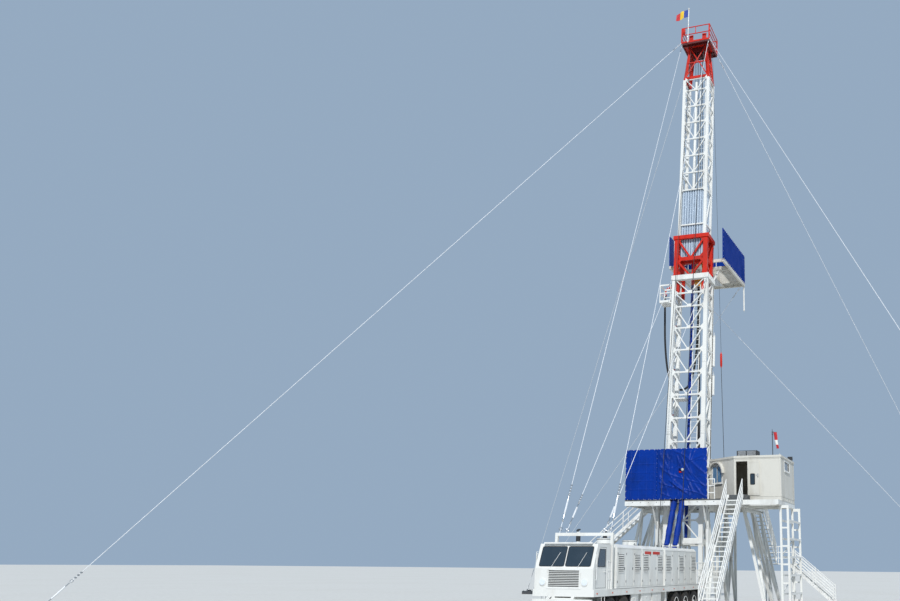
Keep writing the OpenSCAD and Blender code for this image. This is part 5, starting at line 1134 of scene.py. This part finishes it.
# Stairs: three flights of ribbed treads with a nosing, bolted between stringers of channel.
# Hooks hold them at the top, and plates stand under their feet
# Structural paint, rolled on: off-white, with dust in streaks
M["pale_paint"] = surface("pale_structure_paint", "DFE0DC", "8B8272", amount=0.5, size=1.0,
                          stretch=TALL, rough=0.46, bump=0.07)
paint("white_rail", "stair_rails platform_rails stair_stringers")
paint("pale_paint", "stair_treads")
FLIGHTS = (((-3.9, -3.15, 5.8), 180, 5.8, 47), ((2.0, 3.8, 5.6), 90, 5.6, 40),
           ((3.6, -2.48, 5.6), 0, 3.15, 40), ((7.804, -3.7, 2.45), -90, 2.45, 40))
HALF = 0.355            # half width of the treads
tread, stair_bolts, feet = Shape(), Shape(), Shape()
for at, turned, drop, slope in FLIGHTS:
    c, s = math.cos(math.radians(turned)), math.sin(math.radians(turned))

    def flight(x, y, z=0.0):
        """World place of a point of the flight: x down its run, y across."""
        return np.array([at[0] + x * c - y * s, at[1] + x * s + y * c, at[2] + z])

    run = drop / math.tan(math.radians(slope))
    n = round(drop / 0.232)
    for i in range(1, n):
        x, z = i * run / n - 0.185, -i * drop / n - 0.085
        tread.box((x + 0.215, -HALF, z - 0.012), (x + 0.246, HALF, z + 0.041), flight)
        for k in range(5):
            tread.box((x + 0.02 + 0.042 * k, -HALF, z + 0.035),
                      (x + 0.028 + 0.042 * k, HALF, z + 0.042), flight)
        for y in (-0.403, 0.403):
            stair_bolts.bolts([flight(x + 0.06, y, z + 0.015), flight(x + 0.18, y, z + 0.015)],
                              (-s, c, 0), 0.012, 0.012)
    for y in (-0.38, 0.38):
        feet.box((run - 0.30, y - 0.07, -drop + 0.001), (run + 0.04, y + 0.07, -drop + 0.014),
                 flight)
        feet.box((0.0, y - 0.05, -0.16), (0.012, y + 0.05, 0.01), flight)
tread.make("tread_ribs", "pale_paint")
stair_bolts.make("stair_bolts", "dark_steel")
for x, y in ((7.40, -3.64), (7.40, -2.13), (8.21, -3.64), (8.21, -2.13), (0.1, -5.325),
             (0.1, -5.7), (-3.025, -5.325), (-3.025, -5.7)):
    feet.slab(x, y, 0.001, 0.016 if x > 5 else 0.042, 0.11, 0.11)
    feet.bolts([(x + a, y + b, 0.026 if x > 5 else 0.05) for a, b in square(0.08)], Z,
               0.014, 0.02)
feet.make("stair_feet", "white_rail")

# Landings: ribbed gratings of pressed sheet, laid in the landings' frames
grate = Shape()
for x in np.arange(7.40, 8.22, 0.04):
    grate.box((x, -3.68, 2.45), (x + 0.006, -2.10, 2.458))
for x in np.arange(2.79, 3.58, 0.04):
    grate.box((x, -2.98, 5.60), (x + 0.006, -2.04, 5.608))
for x in np.arange(1.55, 2.72, 0.04):
    grate.box((x, 2.98, 5.60), (x + 0.006, 3.77, 5.608))
for y in np.arange(-3.70, -2.74, 0.04):
    grate.box((-3.83, y, 5.80), (-3.16, y + 0.006, 5.808))
grate.make("landing_gratings", "pale_paint")

# Substructure and floor: welded beams and battered legs, with gussets at the joints and pins
# through the posts. Bolts and lifting rings run along the floor's edge
# Steel plate with a rolled pattern: dark, worn and gritty
M["deck_plate"] = surface("chequered_deck_plate", "565A5C", "7A6A55", amount=0.55, size=1.2,
                          rough=0.6, metal=0.3, bump=0.5, grain=22.0)
paint("pale_paint", "substructure floor_frame")
paint("deck_plate", "floor_deck")
BAY_X, BAY, POST_H, BATTER = -3.04, 1.91, 5.3, math.radians(12.2)
long = POST_H / math.cos(BATTER)
gusset, pins = Shape(), Shape()
for k in SIDES:
    for i in range(3):
        x = BAY_X + (i + 0.5) * BAY
        for y in (1.475, 1.325):
            gusset.slab(x, k * y, 2.51, 2.79, 0.14, 0.006)
            pins.bolts([(x + a, k * (y + (0.012 if y > 1.4 else -0.012)), 2.65 + b)
                        for a, b in square(0.1)], Y, 0.016, 0.02)
    for i in range(4):
        x = BAY_X + i * BAY
        for z, up in ((0.20, 1), (5.10, -1)):
            for side in SIDES:
                gusset.plate([(x, z), (x + side * 0.19, z), (x, z + up * 0.20)], 0.012,
                             lambda a, b, c: (a, k * (1.475 + c), b))
        for z in (5.2, 0.1):
            pins.disc((x, k * 1.482, z), Y, 0.045, 0.03, 20)
    out = on_plane((0, k * (2.98 + POST_H * math.tan(BATTER)), 0), (-k, 0, 0),
                   (0, -k * math.sin(BATTER), math.cos(BATTER)))
    for x in (-0.2575, 1.7075):
        strip(gusset, out, -k * x - 0.13, -k * x + 0.13, long - 2.83, long - 2.57)
        pins.bolts([out(-k * x + a, long - 2.7 + b, 0.018) for a, b in square(0.09)],
                   (0, k, 0.2), 0.016, 0.02)
    for x in (-1.24, 0.725, 2.69):
        for b, up in ((0.22, 1), (long - 0.22, -1)):
            for side in SIDES:
                if -1.3 < x + side * 0.25 < 2.75:
                    gusset.plate([(-k * x, b), (-k * (x + side * 0.25), b), (-k * x, b + up * 0.3)],
                                 0.012, out)
    for x in (-1.215, 2.65):
        pins.disc((x, k * 1.60, 0.09), Y, 0.035, 0.06, 20)
gusset.make("substructure_gussets", "pale_paint")
pins.make("substructure_pins", "dark_steel")
edge = Shape()
for y in (-3.203, 2.953):
    edge.bolts([(x, y, 5.48) for x in np.arange(-3.6 if y > 0 else 0.6, 2.7, 0.45)], Y,
               0.02, 0.02)
for x, y0 in ((-3.903, -2.9), (2.753, -3.0)):
    edge.bolts([(x, y, 5.48) for y in np.arange(y0, 2.9, 0.45)], X, 0.02, 0.02)
for y in (-3.05, 2.80):
    for x in (-3.87, 2.72):
        edge.ring((x, y, 5.32), X, 0.06, 0.014, 24)
edge.make("floor_edge_bolts", "dark_steel")

# Guy wires: galvanised rope from the crown and the board, ending in an eye held by three
# clips, with a turnbuckle above each ground anchor, which is a frame of steel plates
# New zinc on laid wire: pale, with the strands as bumps
M["guy_rope"] = surface("bright_guy_rope", "E6E8EA", "B0ACA4", size=4.0, rough=0.45, metal=0.2,
                        bump=0.5, grain=120.0)
paint("guy_rope", "guy_wires")
paint("dark_steel", "guy_anchors")
DECK_S, ANCHOR_Z = 31.70, 0.1
WIRES = [(mast(u, v, DECK_S), (x, y, ANCHOR_Z)) for u, v, x, y in (
    (-0.3, 0.95, -21.5, 21.2), (-0.3, -0.95, -21.5, -17.9),
    (1.55, 0.95, 17.5, 19.68), (1.55, -0.95, 17.5, -15.68))]
WIRES += [((4.99, 1.93, 20.07), (17.5, -15.32, ANCHOR_Z)),
          ((4.99, -1.38, 20.0), (17.5, 19.32, ANCHOR_Z))]
WIRES += [(mast(u, k * v, s), (-15.55, k * y, 3.44)) for u, v, s, y in (
    (-0.25, 0.9, DECK_S, 1.1), (0, 1.08, 15.06, 0.82)) for k in (1, -1)]
iron = Shape()
for top, low in WIRES:
    top, low = np.asarray(top, float), np.asarray(low, float)
    d = (top - low) / np.linalg.norm(top - low)
    side = np.cross(d, Z)
    side /= np.linalg.norm(side)
    for a, b in ((0.70, 0.90), (1.50, 1.70)):
        iron.tube([low + a * d, low + b * d], 0.022, 10)
    for a in (0.62, 1.78):
        iron.ring(low + a * d, side, 0.055, 0.016, 20)
    for a in (1.95, 2.08, 2.21):
        iron.box(low + a * d - 0.032, low + a * d + 0.032)
    start = 0.25 if low[2] < 1 else 0.12
    iron.ring(low + (start + 0.12) * d, np.cross(side, d), 0.07, 0.016, 24)
    for a in (0.30, 0.62):
        iron.ring(top - a * d, side, 0.05, 0.014, 20)
    for a in (0.78, 0.88, 0.98):
        iron.box(top - a * d - 0.028, top - a * d + 0.028)
iron.make("guy_fittings", "bright_steel")
anchor = Shape()
for x, y in ((-21.5, 21.2), (-21.5, -17.9), (17.5, 19.5), (17.5, -15.5)):
    for a in (-0.395, 0.395):
        anchor.slab(x + a, y, 0.0, 0.232, 0.008, 0.40)
        anchor.slab(x, y + a, 0.0, 0.232, 0.40, 0.008)
        for b in (-0.3, 0.3):
            anchor.ring((x + a * 0.8, y + b, 0.245), X, 0.04, 0.012, 20)
    anchor.slab(x, y, 0.22, 0.245, 0.14, 0.24)
    anchor.slab(x, y, 0.22, 0.33, 0.015, 0.20)
anchor.make("anchor_fittings", "dark_steel")

# Floodlights: cast cases with cooling fins and a glass in a frame, bolted in a bracket
# Pressed glass: pale and glossy
M["lamp_glass"] = surface("lamp_glass", "DDE4EA", "B8BEC4", amount=0.3, size=5.0, rough=0.12,
                          coat=0.6)
paint("dark_steel", "floodlights")
fins, lens = Shape(), Shape()
for x, y, z in ((2.725, -1.95, 8.25), (2.725, -1.45, 8.25), (2.725, 2.75, 8.25),
                (0.25, -5.25, 7.87)):
    lens.box((x + 0.068, y - 0.115, z + 0.105), (x + 0.074, y + 0.115, z + 0.265))
    for a in np.arange(-0.115, 0.12, 0.023):
        fins.box((x - 0.065, y + a, z + 0.10), (x - 0.04, y + a + 0.006, z + 0.27))
    place = on_plane((x + 0.07, y, z), Y, Z)
    frame_strip(fins, place, -0.115, 0.115, 0.105, 0.265, 0.015, 0.012)
    for k in SIDES:
        fins.disc((x, y + k * 0.135, z + 0.185), Y, 0.022, 0.016, 16)
        fins.slab(x, y + k * 0.142, z + 0.07, z + 0.2, 0.02, 0.004)
    fins.slab(x, y, z + 0.066, z + 0.074, 0.02, 0.146)
fins.make("floodlight_frames", "dark_steel")
lens.make("floodlight_glass", "lamp_glass")

# Door leaves of the floor: framed sheet on bolted hinges, with strips round the outer face
# and a bent bar for a handle
for name, y, n, x1, z1, body in (("v_door", 0.545, 1, 3.78, 8.25, "v_door_leaf"),
                                 ("floor_door", -2.90, -1, 3.52, 7.57, "floor_door_leaf")):
    place = upright(y=y, across=(-n, 0, 0))
    sheet_frame, ends = Shape(), sorted((-n * 2.92, -n * (x1 - 0.05)))
    frame_strip(sheet_frame, place, *ends, 5.68, z1 - 0.05, 0.045, 0.010)
    strip(sheet_frame, place, *ends, 6.90, 6.945, 0.010)
    sheet_frame.make(name + "_frame", "white_rail", body)
    grip = Shape()
    a = -n * (x1 - 0.14)
    grip.tube([place(a, 6.55, 0.0), place(a, 6.55, 0.05), place(a, 6.78, 0.05),
               place(a, 6.78, 0.0)], 0.009)
    grip.make(name + "_grip", "dark_steel", body, smooth=True)
    for z in (6.0, 7.2):
        Shape().bolts([place(-n * (2.835 + 0.04 * i), z + 0.09, 0.005) for i in (0, 1)], Y,
                      0.011, 0.012).make(f"{name}_hinge_bolts_{round(z)}", "dark_steel", body)


# Carrier: a long chassis with a pressed cab. Its glass sits in rubber seals, and mirrors,
# grille, lamps and tow hooks are bolted on
paint("white_paint", "carrier_chassis carrier_cab carrier_housings")
CAR_LEFT = upright(y=1.2, across=BACKWARD)
CAR_RIGHT = upright(y=-1.2)
SCREEN = on_plane((-17.3, 0, 2.15), RIGHTWARD, (0.38897, 0, 0.92125))
NOSE = upright(-17.3, across=RIGHTWARD)
glass, seam, cab = Shape(), Shape(), Shape()
for a0, a1 in ((-1.06, -0.03), (0.03, 1.06)):
    strip(glass, SCREEN, a0, a1, 0.08, 0.86, 0.006)
    round_seal(seam, SCREEN, a0, a1, 0.08, 0.86, 0.006, 0.012, 0.07)
    cab.tube([SCREEN((a0 + a1) / 2, 0.02, 0.02), SCREEN((a0 + a1) / 2 + 0.28, 0.62, 0.03)], 0.008)
for place, k in ((CAR_LEFT, -1), (CAR_RIGHT, 1)):
    pts = [(-16.98, 2.22), (-16.20, 2.22), (-16.20, 2.86), (-16.74, 2.86)]
    glass.plate([(k * x, z) for x, z in pts][::k], 0.006, place)
    seam.tube([place(k * x, z, 0.006) for x, z in pts + pts[:1]], 0.012, 6)
    for x0, x1, z0, z1 in ((-17.08, -17.07, 1.45, 2.12), (-16.12, -16.11, 1.45, 2.93),
                           (-17.08, -16.11, 1.45, 1.46), (-16.72, -16.11, 2.925, 2.935)):
        strip(seam, place, *sorted((k * x0, k * x1)), z0, z1, 0.003)
    strip(cab, place, *sorted((k * -16.30, k * -16.17)), 2.02, 2.06, 0.03)
    cab.tube([place(k * -17.12, 1.75, 0.0), place(k * -17.12, 1.75, 0.06),
              place(k * -17.12, 2.75, 0.06), place(k * -17.12, 2.75, 0.0)], 0.014)
    cab.tube([place(k * -17.05, 2.7, 0.02), place(k * -17.12, 2.66, 0.045)], 0.011)
    cab.box(place(k * -17.16, 2.30, 0.03), place(k * -17.10, 2.66, 0.047))
for a in (-0.86, 0.86):
    cab.disc(NOSE(a, 1.66, 0.01), X, 0.14, 0.03, 32)
for b in np.arange(1.50, 2.04, 0.06):
    strip(seam, NOSE, -0.62, 0.62, b, b + 0.03, 0.008)
for a in (-0.7, 0.7):
    cab.box((-17.44, a - 0.02, 0.62), (-17.42, a + 0.02, 0.80))
    cab.ring((-17.45, a, 0.66), Y, 0.06, 0.016, 20)
frame_strip(cab, NOSE, -0.66, 0.66, 1.46, 2.08, 0.04, 0.012)
cab.box((-17.05, -1.0, 3.05), (-16.95, 1.0, 3.10))
glass.make("cab_glass", "window")
seam.make("cab_seams", "rubber")
cab.make("cab_fittings", "white_rail")
lamp = Shape()
for a in (-0.86, 0.86):
    lamp.disc(NOSE(a, 1.66, 0.03), X, 0.11, 0.02, 32)
    lamp.disc((-17.425, a * 1.15, 0.86), X, 0.06, 0.02, 24)
lamp.make("cab_lamps", "lamp_glass")
marker = Shape()
for x in np.arange(-17.0, -2.0, 1.5):
    for y in (-1.255, 1.255):
        marker.slab(x, y, 1.24, 1.28, 0.05, 0.006)
for y in (-1.05, 1.05):
    marker.box((-1.902, y - 0.1, 1.22), (-1.888, y + 0.1, 1.32))
marker.make("side_markers", "orange_paint")

# Housings of the engines and the drawworks: folded sheet with hinged doors, louvres and
# latches, roof seams, fans under wire guards and exhausts with flaps
EXHAUST_Y = 0.7
panel, dark, bits, band = Shape(), Shape(), Shape(), Shape()
for x0, x1, half in ((-14.9, -12.15, 1.15), (-12.05, -9.3, 1.15), (-9.2, -4.4, 1.2)):
    count = round((x1 - x0) / 0.9)
    width = (x1 - x0) / count
    for k in SIDES:
        side = upright(y=k * half, across=(-k, 0, 0))
        for i in range(count):
            a0, a1 = sorted((-k * (x0 + i * width + 0.05), -k * (x0 + (i + 1) * width - 0.05)))
            strip(panel, side, a0, a1, 1.47, 2.90, 0.010)
            if i % 2 == 0:
                for b in np.arange(2.02, 2.70, 0.07):
                    panel.plate([(0.010, b), (0.032, b - 0.02), (0.032, b - 0.012),
                                 (0.010, b + 0.02)], a1 - a0 - 0.24,
                                lambda p, q, c, s=a0 + 0.12, f=side: f(s + c, q, p))
                    # Painted shade: a dark strip in each gap between two louvre blades
                    strip(dark, side, a0 + 0.12, a1 - 0.12, b + 0.021, b + 0.045, 0.0115)
            for b in (1.65, 2.72):
                bits.disc(side(a0 + 0.03, b, 0.016), Z, 0.012, 0.09, 12)
            bits.disc(side(a1 - 0.06, 2.15, 0.016), Y, 0.022, 0.016, 16)
            strip(bits, side, a1 - 0.075, a1 - 0.045, 2.10, 2.20, 0.026)
        for b in (2.93, 1.40):
            strip(panel, side, *sorted((-k * x0, -k * x1)), b, b + 0.03, 0.014)
    for x in np.arange(x0 + 0.45, x1 - 0.1, 0.9):
        panel.box((x - 0.015, -half + 0.13, 3.08), (x + 0.015, half - 0.13, 3.09))
    for x in (x0 + 0.2, x1 - 0.2):
        for y in (-half + 0.25, half - 0.25):
            bits.ring((x, y, 3.12), Y, 0.045, 0.012, 20)
for place, k in ((upright(y=-1.15), 1), (upright(y=1.15, across=BACKWARD), -1)):
    for a0, a1 in ((-11.75, -10.95), (-10.75, -9.82)):
        strip(band, place, *sorted((k * a0, k * a1)), 2.74, 2.86, 0.013)
for x in (-13.5, -10.6):
    for r in (0.325, 0.24, 0.16, 0.08):
        bits.ring((x, 0, 3.345), Z, r, 0.007, 40, 6)
    for a, b in circle(12, 0.325):
        bits.tube([(x, 0, 3.347), (x + a, b, 3.347)], 0.005, 6)
    for a, b in circle(5, 1.0):
        dark.plate([(0.05, -0.03), (0.30, -0.08), (0.30, 0.08), (0.05, 0.03)], 0.004,
                   lambda p, q, c, a=a, b=b, x=x: (x + p * a - q * b, p * b + q * a, 3.341 + c))
    for z in (3.12, 3.30):
        bits.ring((x, 0, z), Z, 0.333, 0.010, 48, 6)
for x in (-14.6, -11.8):
    dark.disc((x, EXHAUST_Y, 3.35), Z, 0.092, 0.30, 32)
    dark.plate([(math.cos(t) * 0.09, math.sin(t) * 0.09) for t in np.linspace(0, 6.0, 20)], 0.008,
               lambda a, b, c, x=x: (x + a, EXHAUST_Y + b, 3.60 + c + 0.5 * (a + 0.09)))
    dark.disc((x - 0.09, EXHAUST_Y, 3.60), Y, 0.014, 0.10, 12)
panel.make("housing_panels", "white_paint", bevel=0.003)
dark.make("housing_vents", "grille")
bits.make("housing_fittings", "dark_steel")
band.make("housing_bands", "red_paint")

# Wheels: pressed steel rims with hand holes, nuts round the hub and tyres with shoulder lugs.
# Rubber flaps hang behind them, and the jacks between them have polished rams
# Moulded rubber: black, grey with dust
M["tyre"] = surface("tyre_rubber", "1B1B1C", "5C5346", amount=0.6, size=2.2, rough=0.8, bump=0.5)
paint("tyre", "carrier_wheels")
AXLES, AXLE_Z = (-15.6, -14.2, -7.6, -6.2, -4.8), 0.56
rim, nut, lug, flap = Shape(), Shape(), Shape(), Shape()
for x in AXLES:
    for k in SIDES:
        rim.disc((x, k * 1.064, AXLE_Z), Y, 0.30, 0.010, 40)
        rim.ring((x, k * 1.232, AXLE_Z), Y, 0.312, 0.014, 48)
        rim.disc((x, k * 1.195, AXLE_Z), Y, 0.135, 0.016, 32)
        rim.disc((x, k * 1.215, AXLE_Z), Y, 0.075, 0.04, 28)
        for a, b in circle(10, 0.165):
            nut.disc((x + a, k * 1.078, AXLE_Z + b), Y, 0.016, 0.03, 6)
        for a, b in circle(8, 0.108):
            nut.disc((x + a, k * 1.207, AXLE_Z + b), Y, 0.010, 0.014, 6)
        for a, b in circle(8, 0.235, 0.2):
            flap.disc((x + a, k * 1.067, AXLE_Z + b), Y, 0.032, 0.008, 16)
        for a, b in circle(36, 1.0):
            for y0, y1 in ((1.188, 1.246), (0.982, 0.924)):
                lug.bar((x + 0.546 * a, k * y0, AXLE_Z + 0.546 * b),
                        (x + 0.505 * a, k * y1, AXLE_Z + 0.505 * b), 0.045, 0.012, up=(-b, 0, a))
        flap.box((x + 0.62, k * 0.90, 0.30), (x + 0.628, k * 1.24, 1.15))
rim.make("wheel_rims", "white_rail")
nut.make("wheel_nuts", "dark_steel")
lug.make("tyre_lugs", "tyre")
flap.make("wheel_flaps", "rubber")
jack = Shape()
for x in (-12.5, -8.9, -3.3):
    for y in (-1.05, 1.05):
        jack.ring((x, y, 0.60), Z, 0.075, 0.015, 32)
        jack.tube([(x, y, 0.59), (x, y, 0.20)], 0.0615, 24)
        for a, b in circle(8, 0.18):
            jack.disc((x + a, y + b, 0.066), Z, 0.014, 0.016, 6)
jack.make("jack_rams", "bright_steel")
chest = Shape()
for x0, x1 in ((-13.35, -12.75), (-12.2, -11.0), (-10.9, -9.7)):
    for k in SIDES:
        chest.box((x0, k * 0.80, 0.52), (x1, k * 1.20, 1.145))
        side = upright(y=k * 1.20, across=(-k, 0, 0))
        a0, a1 = sorted((-k * x0, -k * x1))
        strip(chest, side, a0 + 0.04, a1 - 0.04, 0.56, 1.10, 0.012)
        strip(chest, side, (a0 + a1) / 2 - 0.05, (a0 + a1) / 2 + 0.05, 0.98, 1.03, 0.03)
chest.make("tool_chests", "white_paint", bevel=0.01)
walk = Shape()
for y in (-1.245, 1.245):
    walk.box((-15.5, y - 0.005, 1.385), (-2.0, y + 0.005, 1.415))
for k in SIDES:
    for x0, x1 in ((-16.55, -16.25), (-3.05, -2.65)):
        for z in (0.75, 0.95):
            walk.box((x0, k * 1.10, z), (x1, k * 1.24, z + 0.02))
        for x in (x0, x1):
            walk.box((x - 0.01, k * 1.23, 0.75), (x + 0.01, k * 1.245, 1.2))
    for x0, x1 in ((-4.30, -3.05), (-16.0, -15.62)):
        for x in (x0, (x0 + x1) / 2, x1):
            walk.tube([(x, k * 1.20, 1.40), (x, k * 1.20, 2.42)], 0.019)
        for z in (1.75, 2.08, 2.42):
            walk.tube([(x0, k * 1.20, z), (x1, k * 1.20, z)], 0.019)
walk.make("carrier_steps", "white_rail")

# Mast stand: a welded frame behind the mast's foot, with pins in bossed plates, gussets, and
# the lugs that the raising cylinders turn on
paint("white_paint", "mast_stand")
stand = Shape()
for k in SIDES:
    for x, z in ((-2.895, 3.30), (-1.751, 3.22)):
        stand.disc((x, k * 1.115, z), Y, 0.07, 0.05, 28)
        stand.box((x - 0.13, k * 1.104, z - 0.13), (x + 0.13, k * 1.112, z + 0.13))
    for x in (-3.005, -1.861):
        for z, up in ((1.40, 0.3), (2.46, 0.22), (2.30, -0.22)):
            stand.plate([(x + 0.22, z), (x + 0.22 + abs(up), z), (x + 0.22, z + up)], 0.014,
                        lambda a, b, c: (a, k * (1.0 + c), b))
    stand.box((-5.05, k * 0.10, 3.08), (-4.65, k * 0.36, 3.105))
    stand.disc((-4.85, k * 0.23, 3.23), Y, 0.06, 0.40, 24)
    for y in (0.06, 0.40):
        stand.plate([(-5.0, 3.08), (-4.7, 3.08), (-4.78, 3.34), (-4.92, 3.34)], 0.02,
                    lambda a, b, c: (a, k * (y - 0.01 + c), b))
stand.make("stand_fittings", "white_paint")

# Lights: a high soft sun from the right front, with pale sky all round, over a plain floor
# Matt studio floor: pale, without a pattern
M["floor"] = surface("pale_studio_floor", "CCCAC4", "C0BCB4", amount=0.3, size=0.08, rough=0.9,
                     bump=0.02, grain=3.0)
world = bpy.data.worlds.new("sky")
world.use_nodes = True
world.node_tree.nodes["Background"].inputs["Color"].default_value = linear("BCD6F2")
world.node_tree.nodes["Background"].inputs["Strength"].default_value = 0.6
bpy.context.scene.world = world
for name, angle, power, soft in (("sun", (48, 0, -72), 3.3, 2.0),
                                 ("fill", (60, 0, 60), 0.35, 30.0)):
    sun = bpy.data.lights.new(name, "SUN")
    sun.energy, sun.angle = power, math.radians(soft)
    lamp = bpy.data.objects.new(name, sun)
    lamp.rotation_euler = [math.radians(a) for a in angle]
    bpy.context.scene.collection.objects.link(lamp)
ground = bpy.data.meshes.new("studio_floor")
ground.from_pydata([(-400, -400, 0), (400, -400, 0), (400, 400, 0), (-400, 400, 0)], [],
                   [(0, 1, 2, 3)])
ground.materials.append(M["floor"])
ground = bpy.data.objects.new("studio_floor", ground)
bpy.context.scene.collection.objects.link(ground)
bpy.context.scene.view_settings.view_transform = "Standard"
